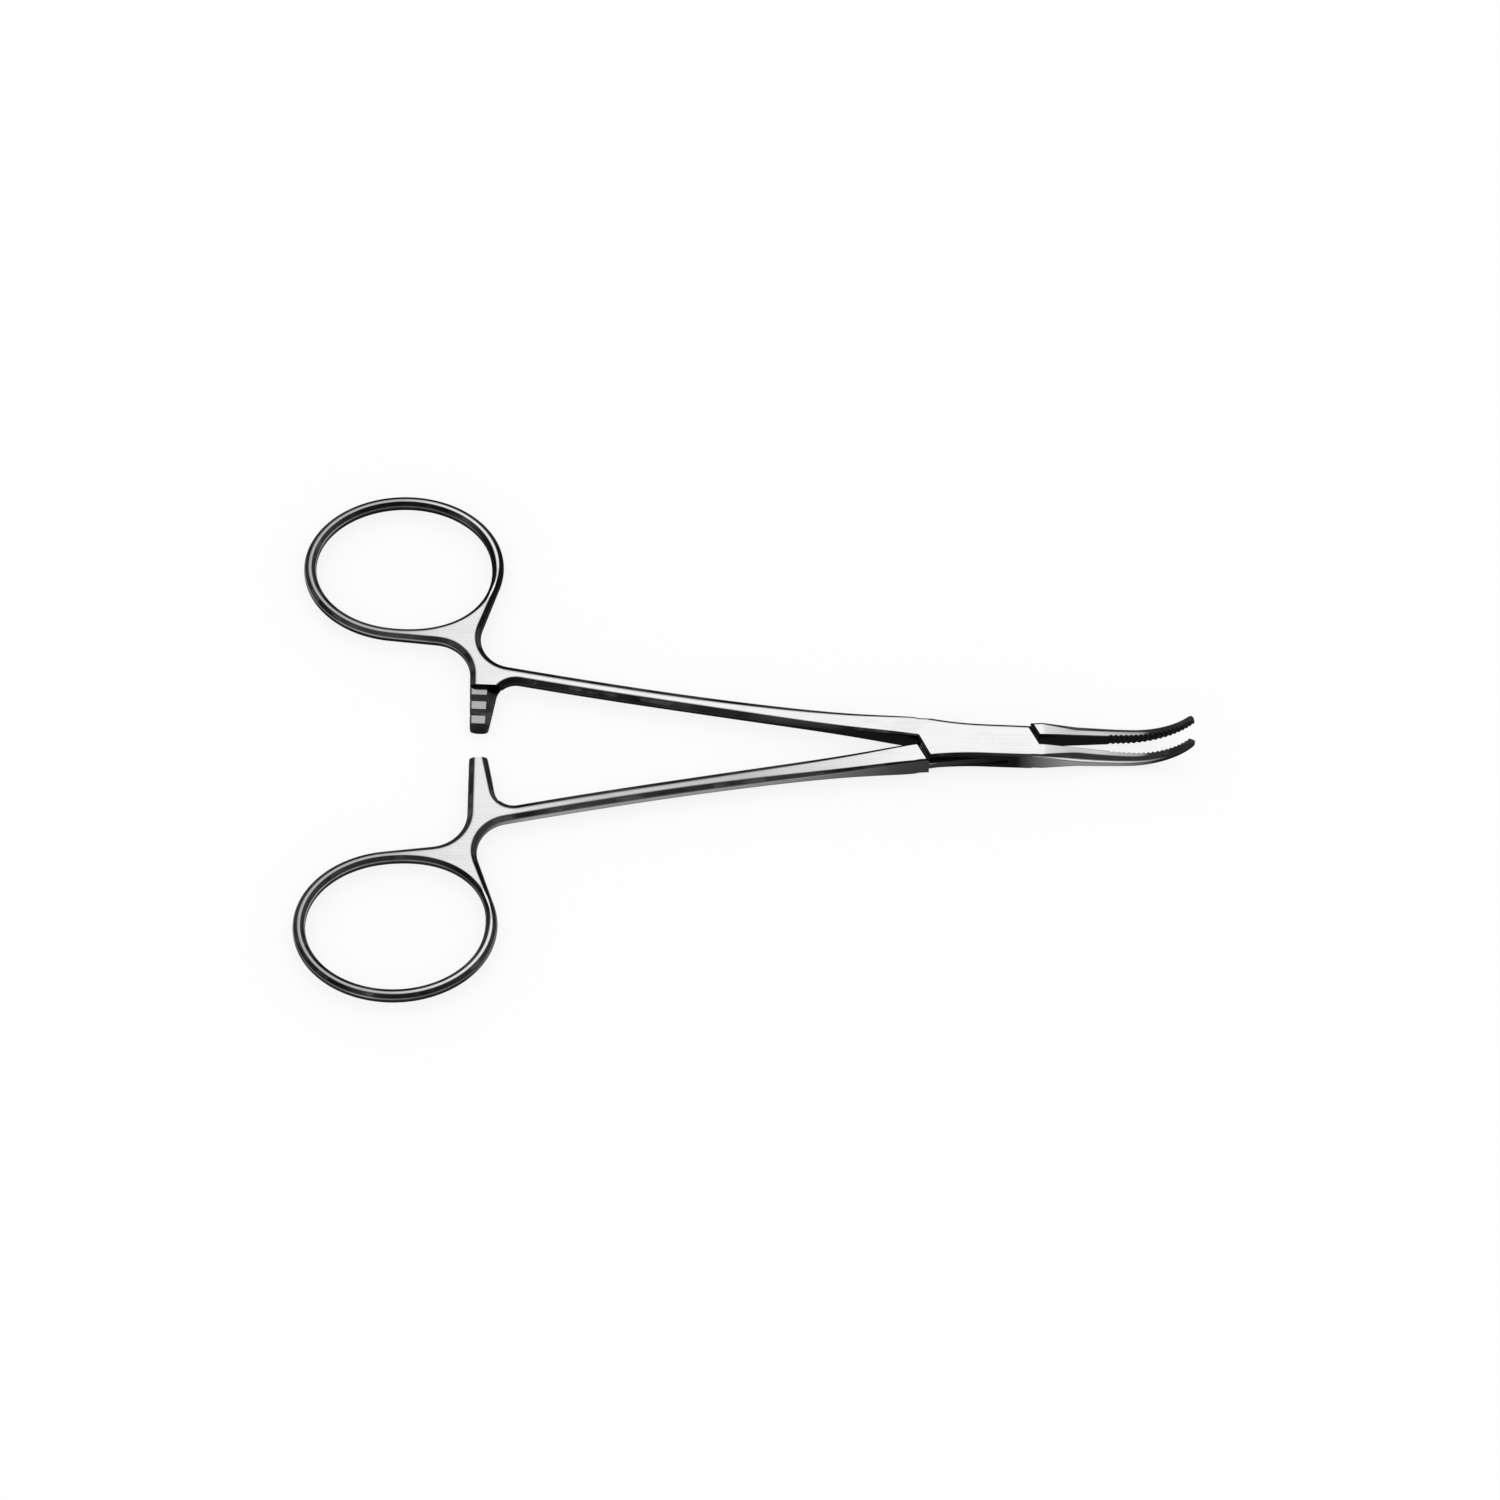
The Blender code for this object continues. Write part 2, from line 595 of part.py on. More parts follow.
def male_half():
    """Ring, shank, thin web and jaw, forged in one, full thickness only outside the box."""
    half = handle_solid("male_half")
    turn_over(half)
    ratchet = ratchet_cutter("male_ratchet_cut")
    turn_over(ratchet)
    combine(half, "DIFFERENCE", ratchet)
    combine(half, "UNION", jaw_solid("male_jaw_form"))
    combine(half, "DIFFERENCE", lock_envelope("shoulder_cut"))
    combine(half, "UNION", male_web("web_form"))
    combine(half, "DIFFERENCE", pin_solid("pin_hole_cut", PIN_RADIUS + PIN_RUNNING_GAP, BOX_THICK))
    flatten_shading(half)
    return half


def main():
    for old in list(bpy.data.objects):
        bpy.data.objects.remove(old, do_unlink=True)
    pivot = bpy.data.objects.new("pivot_axis", None)
    pivot.location.z = BOX_THICK / 2 * MM
    bpy.context.collection.objects.link(pivot)
    pieces = (
        (female_half(), -REST_SWING_DEG, steel("polished_steel_female")),
        (male_half(), REST_SWING_DEG, steel("polished_steel_male")),
        (pin_solid("pivot_pin", PIN_RADIUS, BOX_THICK / 2), -REST_SWING_DEG, steel("rivet_steel", roughness=0.18)),
    )
    for piece, swing, material in pieces:
        piece.parent = pivot
        piece.rotation_euler.z = math.radians(swing)
        piece.data.materials.append(material)
    bpy.context.view_layer.update()


main()
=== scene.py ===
"""Curved box-lock haemostatic forceps, 140 mm long, lying half open on a white table.

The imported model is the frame. Each forging is modelled here again in finer steps, closed and about a pivot
at (0, 0) on its mid-plane, then swung to where it rests, and it stands for its CAD node. Named sizes are in
millimetres and degrees.
"""

import logging
import math
from dataclasses import dataclass, field
from enum import Enum
from typing import Callable

import bmesh
import bpy
from mathutils import Matrix, Vector


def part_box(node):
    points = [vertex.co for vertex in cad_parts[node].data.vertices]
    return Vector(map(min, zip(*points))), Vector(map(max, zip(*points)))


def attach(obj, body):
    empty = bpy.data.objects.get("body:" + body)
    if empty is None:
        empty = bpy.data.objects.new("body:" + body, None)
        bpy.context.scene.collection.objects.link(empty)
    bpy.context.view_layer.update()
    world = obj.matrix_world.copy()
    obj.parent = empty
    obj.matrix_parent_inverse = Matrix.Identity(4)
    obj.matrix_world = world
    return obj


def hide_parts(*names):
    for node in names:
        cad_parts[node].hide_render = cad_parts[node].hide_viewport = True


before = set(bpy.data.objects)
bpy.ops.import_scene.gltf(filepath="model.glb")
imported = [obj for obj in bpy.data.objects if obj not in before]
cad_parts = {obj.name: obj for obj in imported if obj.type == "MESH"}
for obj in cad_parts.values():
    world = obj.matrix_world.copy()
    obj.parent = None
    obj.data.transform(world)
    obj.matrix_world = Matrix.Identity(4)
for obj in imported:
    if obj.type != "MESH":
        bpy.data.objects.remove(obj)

log = logging.getLogger("forceps")

MM = 0.001
SMOOTH_DEG = 20.0
FLATS_WEIGHT = 100
LENGTH_FROM = -110.0
LENGTH_TO = 40.0

Piece = bpy.types.Object
Spot = Vector | tuple[float, float, float]
Points = list[Vector]
Loops = list[Points]
Stops = tuple[tuple[float, float], ...]
Colour = tuple[float, float, float, float]
Socket = bpy.types.NodeSocket
Source = Socket | float


class Half(Enum):
    """The two forgings that cross in the box lock."""

    FEMALE = ("female_half", "female", -2.5)
    MALE = ("male_half", "male", 2.5)

    def __init__(self, node: str, body: str, swing_deg: float) -> None:
        """Keep what sets a half apart.

        Args:
            node: Name of the CAD node that the forging stands for.
            body: Name of the CAD body that it rides on.
            swing_deg: How far it lies swung from closed.
        """
        self.node = node
        self.body = body
        self.swing_deg = swing_deg


class Cut(Enum):
    """What one solid does to another."""

    ADD = "UNION"
    TAKE = "DIFFERENCE"


def mix(start: float, end: float, share: float) -> float:
    """Value between start and end at this share of the way."""
    return start + (end - start) * share


def clamp(value: float) -> float:
    """Value kept between 0 and 1."""
    return min(1.0, max(0.0, value))


def unit(degrees: float) -> Vector:
    """Direction in plan at this angle from +X."""
    return Vector((math.cos(math.radians(degrees)), math.sin(math.radians(degrees))))


def crossing(point_a: Vector, way_a: Vector, point_b: Vector, way_b: Vector) -> Vector:
    """Find where two lines in plan meet.

    Args:
        point_a: A point on the first line.
        way_a: Direction of the first line.
        point_b: A point on the second line.
        way_b: Direction of the second line.

    Returns:
        The point where they meet.
    """
    along = (point_b - point_a).cross(way_b) / way_a.cross(way_b)
    return point_a + way_a * along


def fillet(before: Vector, corner: Vector, after: Vector, radius: float, steps: int) -> Points:
    """Round a corner between two straight runs.

    Args:
        before: A point on the run that comes in.
        corner: The sharp corner.
        after: A point on the run that goes out.
        radius: Radius of the rounding.
        steps: Number of chords in the arc.

    Returns:
        The points of the arc, ends included.
    """
    back = (before - corner).normalized()
    ahead = (after - corner).normalized()
    half_angle = back.angle(ahead) / 2
    centre = corner + (back + ahead).normalized() * (radius / math.sin(half_angle))
    start = corner + back * (radius / math.tan(half_angle)) - centre
    sweep = math.pi - 2 * half_angle
    if back.cross(ahead) > 0:
        sweep = -sweep
    return [centre + Matrix.Rotation(sweep * i / steps, 2) @ start for i in range(steps + 1)]


def offset_loop(points: Points, insets: list[float]) -> Points:
    """Move a closed outline sideways, to its left, with its corners kept.

    Args:
        points: The outline, in order.
        insets: How far each point moves.

    Returns:
        The moved outline.
    """
    moved = []
    for i, point in enumerate(points):
        ahead = (points[(i + 1) % len(points)] - point).normalized()
        behind = (point - points[i - 1]).normalized()
        left = Vector((-(ahead + behind).y, (ahead + behind).x)).normalized()
        moved.append(point + left * (insets[i] / left.dot(Vector((-ahead.y, ahead.x)))))
    return moved


@dataclass(frozen=True)
class RingSizes:
    """Finger ring: an oval of round wire."""

    centre: tuple[float, float] = (-92.4, 28.1)
    inner_length: float = 27.6
    inner_width: float = 22.3
    wire: float = 1.95
    tilt_deg: float = 1.8
    free_from_deg: float = -16.0
    free_to_deg: float = 264.0
    bulge: float = 0.7
    bulge_at_deg: float = 316.0
    bulge_reach_deg: float = 56.0
    steps: int = 132
    closing_steps: int = 38

    def point(self, gain: float, degrees: float) -> Vector:
        """A point on the hole's oval, or on one larger all round by gain.

        Args:
            gain: How much larger than the hole the oval is, all round.
            degrees: Angle round it.

        Returns:
            The point in plan.
        """
        across = (self.inner_length / 2 + gain) * math.cos(math.radians(degrees))
        up = (self.inner_width / 2 + gain) * math.sin(math.radians(degrees))
        return Vector(self.centre) + Matrix.Rotation(math.radians(self.tilt_deg), 2) @ Vector((across, up))

    def hole_point(self, degrees: float) -> Vector:
        """A point on the hole, which bulges a little into the web.

        Args:
            degrees: Angle round the hole.

        Returns:
            The point in plan.
        """
        off = abs((degrees - self.bulge_at_deg + 180) % 360 - 180)
        away = min(90.0, off * 90 / self.bulge_reach_deg)
        return self.point(self.bulge * math.cos(math.radians(away)) ** 2, degrees)


@dataclass(frozen=True)
class ShankSizes:
    """Shank: it leaves the crotch of the box, splays in a slow curve, and thins towards the ring."""

    crotch_x: float = -10.4
    crotch_gap: float = 0.30
    end_x: float = -73.0
    splay_at_box_deg: float = 4.5
    splay_at_ring_deg: float = 8.6
    width_at_box: float = 3.4
    width_at_ring: float = 2.75
    slim_x: float = -50.0
    shoulder_x: float = -11.2
    ring_thick: float = 2.1
    box_thick: float = 4.0
    flush_step: float = 0.012
    edge_round: float = 0.92
    edge_round_at_box: float = 0.3
    crown: float = 1.36
    crown_reach: float = 0.22
    steps: int = 44
    closing_up: float = 1.5
    rim_steps: int = 7

    def centre(self, x: float) -> float:
        """Height of the centre line in plan at x.

        Args:
            x: Place along X.

        Returns:
            The height, along Y.
        """
        start = self.crotch_gap / 2 + self.width_at_box / 2
        run = self.crotch_x - x
        length = self.crotch_x - self.end_x
        first = math.tan(math.radians(self.splay_at_box_deg))
        last = math.tan(math.radians(self.splay_at_ring_deg))
        return start + first * run + (last - first) * run * run / (2 * length)

    def width(self, x: float) -> float:
        """Width in plan at x, slim along the finger end."""
        share = max(0.0, (x - self.slim_x) / (self.crotch_x - self.slim_x))
        return mix(self.width_at_ring, self.width_at_box, share**1.5)

    def _towards_box(self, x: float) -> float:
        """Share of the way from the slim part to the box."""
        return clamp((x - self.slim_x) / (self.shoulder_x - self.slim_x))

    def half_thickness(self, x: float) -> float:
        """Half the handle's thickness at x, rising ever faster to the box."""
        share = self._towards_box(x)
        return mix(self.ring_thick, self.box_thick - self.flush_step, share**8 * (9 - 8 * share)) / 2

    def rim(self, x: float) -> float:
        """Radius of the rims at x, full along ring and shank and crisp at the box."""
        return mix(self.edge_round, self.edge_round_at_box, self._towards_box(x) ** 2)


@dataclass(frozen=True)
class ArmSizes:
    """Ratchet arm, its joins with ring and shank, and its teeth."""

    back_x: float = -80.3
    front_x: float = -77.35
    back_lean_deg: float = -3.0
    front_lean_deg: float = 9.0
    overreach: float = 0.78
    outer_fillet: float = 5.3
    ring_fillet: float = 6.0
    arm_fillet: float = 3.0
    fillet_steps: int = 22
    teeth: int = 3
    pitch: float = 2.6
    land: float = 1.35
    depth: float = 0.65
    bite: float = 0.15
    bevel_x: float = -78.0
    bevel_deg: float = 24.0
    back_bevel: float = 0.3
    bevel_gap: float = 0.02

    @property
    def wall(self) -> float:
        """Where the toothed part starts, along Y."""
        return self.teeth * self.pitch - self.overreach


@dataclass(frozen=True)
class BoxSizes:
    """Box lock: waisted sides, two slanted mouths and a slot for the male web."""

    half_width_at_handle: float = 3.45
    half_width_at_pivot: float = 2.8
    half_width_at_jaw: float = 2.77
    handle_x: float = -8.5
    jaw_x: float = 7.2
    edge_round: float = 0.22
    rim: float = 0.3
    crown: float = 2.0
    crown_at_jaw: float = 0.7
    mouth_deg: float = 26.0
    mouth_gap: float = 0.24
    shoulder_break: float = 0.28
    web_thick: float = 1.33
    web_gap: float = 0.12
    web_set_back: float = 0.08
    slot_end_deg: float = 25.0
    slot_end_gap: float = 0.15
    side_steps: int = 18
    rim_steps: int = 5

    @property
    def reach(self) -> float:
        """How far a tool runs to pass through the box for certain."""
        return 6 * self.half_width_at_handle

    def half_width(self, x: float) -> float:
        """Half width at x: waisted at the pivot, wider at both ends.

        Args:
            x: Place along X.

        Returns:
            The half width, along Y.
        """
        if x < 0:
            return mix(self.half_width_at_pivot, self.half_width_at_handle, min(1.0, x / self.handle_x) ** 2)
        return mix(self.half_width_at_pivot, self.half_width_at_jaw, min(1.0, x / self.jaw_x) ** 2)

    def side(self, x_from: float, x_to: float, sign: int, set_back: float = 0.0) -> Points:
        """Points along one long side, set back from it where asked."""
        stops = [mix(x_from, x_to, i / self.side_steps) for i in range(self.side_steps + 1)]
        return [Vector((x, sign * (self.half_width(x) - set_back))) for x in stops]


@dataclass(frozen=True)
class JawSizes:
    """Jaw: D-shaped in section, serrated inside, level with the box and then curved up to a blunt tip."""

    crotch_x: float = 8.5
    straight_x: float = 22.6
    bend_radius: float = 11.0
    bend_deg: float = 60.0
    tip_gap: float = 0.12
    bow: float = 0.38
    back_at_root: float = 2.73
    back_at_tip: float = 1.32
    round_from_x: float = 9.0
    round_to_x: float = 14.5
    thick_at_bend: float = 2.4
    thick_at_tip: float = 1.15
    root_round: float = 0.5
    inner_edge: float = 0.12
    back_round: float = 0.62
    side_round: float = 0.92
    serration_length: float = 14.2
    serration_pitch: float = 0.8
    serration_depth: float = 0.22
    tip_round: float = 0.45
    tip_sweep: float = 0.46
    tip_draw: float = 0.8
    taper_start: float = 1.25
    taper: float = 1.6
    root_stations: int = 24
    root_spacing: float = 1.4
    back_steps: int = 12
    tip_steps: int = 7

    @property
    def length(self) -> float:
        """Length of the centre line from where the jaw starts to bend."""
        return self.bend_radius * math.radians(self.bend_deg)

    def share(self, x: float) -> float:
        """0 at the root and 1 at the tip, along X."""
        tip_x = self.straight_x + self.bend_radius * math.sin(math.radians(self.bend_deg))
        return max(0.0, (x - self.crotch_x) / (tip_x - self.crotch_x))

    def inner(self, x: float) -> float:
        """Distance of the flat face from the line where closed jaws meet."""
        return self.tip_gap / 2 + self.bow * (1 - self.share(x) ** 5)

    def back(self, x: float) -> float:
        """Distance of the back from the same line."""
        return mix(self.back_at_root, self.back_at_tip, self.share(x) ** 1.3)


@dataclass(frozen=True)
class PinSizes:
    """Pivot rivet, ground flush on both faces."""

    radius: float = 1.2
    seat_gap: float = 0.006
    running_gap: float = 0.06
    edge_break: float = 0.006
    break_steps: int = 3
    sides: int = 96
    smooth_deg: float = 40.0


@dataclass(frozen=True)
class ForcepsSizes:
    """All the sizes of the instrument."""

    ring: RingSizes = field(default_factory=RingSizes)
    shank: ShankSizes = field(default_factory=ShankSizes)
    arm: ArmSizes = field(default_factory=ArmSizes)
    box: BoxSizes = field(default_factory=BoxSizes)
    jaw: JawSizes = field(default_factory=JawSizes)
    pin: PinSizes = field(default_factory=PinSizes)


def clear_selection() -> None:
    """Leave nothing selected, so that the next operator acts on its own piece only."""
    if bpy.context.object and bpy.context.object.mode != "OBJECT":
        bpy.ops.object.mode_set(mode="OBJECT")
    bpy.ops.object.select_all(action="DESELECT")


def pick(piece: Piece) -> None:
    """Make a piece the only selected one.

    Args:
        piece: The piece to select.
    """
    clear_selection()
    piece.select_set(True)
    bpy.context.view_layer.objects.active = piece


def closed_loft(name: str, loops: Loops) -> Piece:
    """Loft a solid: capped at both ends, with its faces outwards.

    Args:
        name: Name of the new piece.
        loops: Its outlines, as for a loft.

    Returns:
        The solid.
    """
    solid = loft(name, loops, caps=True)
    face_outwards(solid)
    return solid


def loft(name: str, loops: Loops, caps: bool) -> Piece:
    """Lay a circle on the first outline, then extrude it from outline to outline.

    Args:
        name: Name of the new piece.
        loops: Outlines with the same number of points each, in order, in millimetres.
        caps: Whether the first and last outline are closed with a face.

    Returns:
        The new piece.
    """
    clear_selection()
    count = len(loops[0])
    bpy.ops.mesh.primitive_circle_add(vertices=count, radius=MM, location=(0, 0, 0))
    piece = bpy.context.object
    piece.name = name
    for vertex, point in zip(piece.data.vertices, loops[0]):
        vertex.co = point * MM
    bpy.ops.object.mode_set(mode="EDIT")
    bpy.ops.mesh.select_all(action="SELECT")
    if caps:
        bpy.ops.mesh.edge_face_add()
        bpy.ops.mesh.select_all(action="DESELECT")
        select_edges(piece, list(range(count)))
    order = list(range(count))
    for loop in loops[1:]:
        bpy.ops.mesh.extrude_edges_move()
        order = move_to(piece, order, loop)
    if caps:
        bpy.ops.mesh.edge_face_add()
    bpy.ops.object.mode_set(mode="OBJECT")
    return piece


def select_edges(piece: Piece, indices: list[int]) -> None:
    """Select the edges between these vertices only, in edit mode.

    Args:
        piece: The piece in edit mode.
        indices: Indices of the vertices.
    """
    mesh = bmesh.from_edit_mesh(piece.data)
    wanted = set(indices)
    mesh.select_mode = {"EDGE"}
    for face in mesh.faces:
        face.select_set(False)
    for edge in mesh.edges:
        edge.select_set(all(vertex.index in wanted for vertex in edge.verts))
    bmesh.update_edit_mesh(piece.data)


def move_to(piece: Piece, order: list[int], loop: Points) -> list[int]:
    """Move the edge loop just extruded onto its outline.

    Args:
        piece: The piece in edit mode.
        order: Indices of the loop that was extruded, in outline order.
        loop: The outline to lay the new loop on.

    Returns:
        Indices of the new loop, in outline order.
    """
    mesh = bmesh.from_edit_mesh(piece.data)
    mesh.verts.index_update()
    mesh.verts.ensure_lookup_table()
    fresh = []
    for index, point in zip(order, loop):
        source = mesh.verts[index]
        vertex = next(e.other_vert(source) for e in source.link_edges if e.other_vert(source).select)
        vertex.co = point * MM
        fresh.append(vertex.index)
    bmesh.update_edit_mesh(piece.data)
    return fresh


def close_flats(piece: Piece, is_flat: Callable[[Vector], bool]) -> None:
    """Fill the flat between the open edges that lie in one flat of a piece.

    Args:
        piece: The piece with open edges.
        is_flat: Tells from a vertex place whether it lies in that flat.
    """
    pick(piece)
    bpy.ops.object.mode_set(mode="EDIT")
    bpy.ops.mesh.select_mode(type="EDGE")
    bpy.ops.mesh.select_all(action="DESELECT")
    mesh = bmesh.from_edit_mesh(piece.data)
    for edge in mesh.edges:
        edge.select_set(edge.is_boundary and all(is_flat(vertex.co) for vertex in edge.verts))
    bmesh.update_edit_mesh(piece.data)
    bpy.ops.mesh.fill(use_beauty=True)
    bpy.ops.object.mode_set(mode="OBJECT")


def face_outwards(piece: Piece) -> None:
    """Merge doubles and turn every face outwards.

    Args:
        piece: The piece to mend.
    """
    pick(piece)
    bpy.ops.object.mode_set(mode="EDIT")
    bpy.ops.mesh.select_all(action="SELECT")
    bpy.ops.mesh.remove_doubles(threshold=MM * 1e-4)
    bpy.ops.mesh.normals_make_consistent(inside=False)
    bpy.ops.object.mode_set(mode="OBJECT")


def bake_place(piece: Piece) -> None:
    """Put a piece's place, turn and scale into its mesh."""
    pick(piece)
    bpy.ops.object.transform_apply(location=True, rotation=True, scale=True)


def block(name: str, place: Spot, scale: Spot, turn: Spot) -> Piece:
    """Add a block and put its scale and its turn into the mesh.

    Args:
        name: Name of the block.
        place: Its middle, in metres.
        scale: Its length, width and height, in metres.
        turn: Its turn about X, Y and Z, in radians.

    Returns:
        The block.
    """
    clear_selection()
    bpy.ops.mesh.primitive_cube_add(size=1.0, location=place)
    piece = bpy.context.object
    piece.name = name
    piece.scale = scale
    piece.rotation_euler = turn
    bake_place(piece)
    return piece


def slab(name: str, start: Vector, end: Vector, way: Vector, reach: float, half: float) -> Piece:
    """Add a block between two parallel slanted lines in plan.

    Args:
        name: Name of the block.
        start: A point on the first line.
        end: A point on the second line.
        way: Direction of both lines.
        reach: How far the block runs along them, each way.
        half: Half its height.

    Returns:
        The block, turned along the lines.
    """
    width = abs((end - start).dot(Vector((-way.y, way.x))))
    middle = (start + end) / 2
    scale = (2 * reach * MM, width * MM, 2 * half * MM)
    return block(name, (middle.x * MM, middle.y * MM, 0.0), scale, (0.0, 0.0, math.atan2(way.y, way.x)))


def chamfer(name: str, start: Vector, end: Vector, depth: float) -> Piece:
    """Add a square bar, turned onto its edge, that breaks a sharp edge when it is cut away.

    Args:
        name: Name of the bar.
        start: Where the edge starts, in space.
        end: Where it ends.
        depth: How far the bar reaches from the edge.

    Returns:
        The bar along the edge.
    """
    run = end - start
    side = depth * math.sqrt(2) * MM
    turn = (math.pi / 4, 0.0, math.atan2(run.y, run.x))
    return block(name, (start + end) / 2 * MM, (run.length * MM, side, side), turn)


def combine(base: Piece, cut: Cut, tool: Piece) -> None:
    """Add a tool to a piece, or cut it away, and clear the tool off the bench.

    Args:
        base: The piece that changes.
        cut: Whether the tool is added or cut away.
        tool: The tool, which is used up.
    """
    pick(base)
    change = base.modifiers.new(tool.name, "BOOLEAN")
    change.object = tool
    change.operation = cut.value
    change.solver = "EXACT"
    bpy.ops.object.modifier_apply(modifier=change.name)
    bpy.data.objects.remove(tool, do_unlink=True)


def smooth(piece: Piece, angle_deg: float) -> None:
    """Shade smooth up to an angle, with the large flats kept flat.

    Args:
        piece: The piece to shade.
        angle_deg: The angle that still counts as smooth.
    """
    pick(piece)
    bpy.ops.object.shade_smooth_by_angle(angle=math.radians(angle_deg), keep_sharp_edges=False)
    change = piece.modifiers.new("flats_stay_flat", "WEIGHTED_NORMAL")
    change.weight = FLATS_WEIGHT
    change.keep_sharp = True
    bpy.ops.object.modifier_apply(modifier=change.name)


def rim_loops(
    outline: Points,
    side: int,
    half_at: Callable[[float], float],
    rim_at: Callable[[float], float],
    steps: int,
    crowns: list[float] | None = None,
) -> Loops:
    """Contours of a plate's rounded rim, from its top flat over the side and down to its bottom flat.

    Args:
        outline: The plate's outline in plan.
        side: 1 where the plate lies to the left of the outline, and -1 for a hole.
        half_at: Half the plate's thickness at an x.
        rim_at: Radius of the rim at an x.
        steps: Number of chords in each quarter round.
        crowns: How much wider than deep the rounding is at each point, round where left out.

    Returns:
        The contours, as points in space.
    """
    rims = [rim_at(point.x) for point in outline]
    widths = [rim * crown for rim, crown in zip(rims, crowns)] if crowns else rims
    quarter = [math.pi / 2 * (1 - i / steps) for i in range(steps + 1)]
    levels = [(1 - math.cos(angle), 1 - math.sin(angle)) for angle in quarter]
    loops = []
    for sign, ordered in ((1, levels), (-1, levels[::-1])):
        for inset, drop in ordered:
            moved = offset_loop(outline, [side * inset * width for width in widths])
            loops.append([Vector((p.x, p.y, sign * (half_at(p.x) - drop * r))) for p, r in zip(moved, rims)])
    return loops


@dataclass
class SubAssembly:
    """A group of shapes that take their sizes from the instrument's."""

    sizes: ForcepsSizes


class Handle(SubAssembly):
    """Ring, web, ratchet blank and shank: one plate with rounded rims, thicker towards the box."""

    def hole(self) -> Points:
        """Outline of the finger hole."""
        return [self.sizes.ring.hole_point(angle) for angle in self._ring_angles(closed=True)]

    def outline(self) -> Points:
        """Outline of the whole handle in plan, counter-clockwise.

        Returns:
            The points of ring, web, ratchet arm and both sides of the shank.
        """
        arm = self.sizes.arm
        ring = [self.sizes.ring.point(self.sizes.ring.wire, a) for a in self._ring_angles(closed=False)]
        inner_rail, outer_rail = self._rails()
        arm_back = Vector((arm.back_x, -arm.overreach))
        arm_front = Vector((arm.front_x, -arm.overreach))
        up_back = unit(90 - arm.back_lean_deg)
        up_front = unit(90 - arm.front_lean_deg)
        spare = self.sizes.shank.ring_thick
        ring_corner = crossing(ring[-1], ring[-1] - ring[-2], arm_back, up_back)
        arm_corner = crossing(arm_front, up_front, inner_rail[0], inner_rail[1] - inner_rail[0])
        outer_corner = crossing(outer_rail[0], outer_rail[1] - outer_rail[0], ring[0], ring[1] - ring[0])
        outline = list(ring)
        outline += fillet(ring[-1], ring_corner, arm_back, arm.ring_fillet, arm.fillet_steps)
        outline += [arm_back - up_back * spare, arm_front - up_front * spare]
        outline += fillet(arm_front, arm_corner, inner_rail[0], arm.arm_fillet, arm.fillet_steps)
        outline += inner_rail[1:] + outer_rail[::-1]
        outline += fillet(outer_rail[0], outer_corner, ring[0], arm.outer_fillet, arm.fillet_steps)
        return outline

    def crowns(self, outline: Points) -> list[float]:
        """How crowned the top is inside each point: round on the ring's wire, wider elsewhere.

        Args:
            outline: The outline in plan.

        Returns:
            How much wider than deep the rounding is at each point.
        """
        ring = self.sizes.ring
        centre = Vector(ring.centre)
        reach = ring.inner_length / 2 + ring.wire
        gains = []
        for point in outline:
            place = Matrix.Rotation(-math.radians(ring.tilt_deg), 2) @ (point - centre)
            outside = math.hypot(place.x / reach, place.y / (ring.inner_width / 2 + ring.wire)) - 1
            gains.append(mix(1.0, self.sizes.shank.crown, clamp(outside / self.sizes.shank.crown_reach)))
        return gains

    def build(self, name: str) -> Piece:
        """Model the handle.

        Args:
            name: Name of the new piece.

        Returns:
            The handle, closed all round.
        """
        shank = self.sizes.shank
        outline = self.outline()
        plate = (shank.half_thickness, shank.rim, shank.rim_steps)
        rim = loft(name, rim_loops(outline, 1, *plate, self.crowns(outline)), caps=False)
        bore = loft("bore", rim_loops(self.hole(), -1, *plate), caps=False)
        pick(rim)
        bore.select_set(True)
        bpy.ops.object.join()
        close_flats(rim, lambda place: place.z > 0)
        close_flats(rim, lambda place: place.z < 0)
        face_outwards(rim)
        return rim

    def _ring_angles(self, closed: bool) -> list[float]:
        """Angles round the ring's free part, and round the rest of it where asked.

        Args:
            closed: Whether the rest of the ring is wanted too.

        Returns:
            The angles, in degrees.
        """
        ring = self.sizes.ring
        sweep = ring.free_to_deg - ring.free_from_deg
        angles = [ring.free_from_deg + sweep * i / ring.steps for i in range(ring.steps + 1)]
        if closed:
            rest, steps = 360 - sweep, ring.closing_steps
            angles += [ring.free_to_deg + rest * i / steps for i in range(1, steps)]
        return angles

    def _rails(self) -> tuple[Points, Points]:
        """Inner and outer side of the shank, from the ring into the box.

        Returns:
            The points of both sides, inner side first.
        """
        shank = self.sizes.shank
        closer = [1 - (1 - i / shank.steps) ** shank.closing_up for i in range(shank.steps + 1)]
        stops = [mix(shank.end_x, shank.shoulder_x, share) for share in closer] + [shank.crotch_x]
        inner = [Vector((x, shank.centre(x) - shank.width(x) / 2)) for x in stops]
        outer = [Vector((x, shank.centre(x) + shank.width(x) / 2)) for x in stops]
        outer[-1].y = self.sizes.box.half_width(shank.crotch_x) - shank.flush_step / 2
        nose_x = shank.crotch_x + shank.width_at_box / 2
        inner.append(Vector((nose_x, shank.width_at_box / 4)))
        outer.append(Vector((nose_x, self.sizes.box.half_width(nose_x) - shank.flush_step)))
        return inner, outer


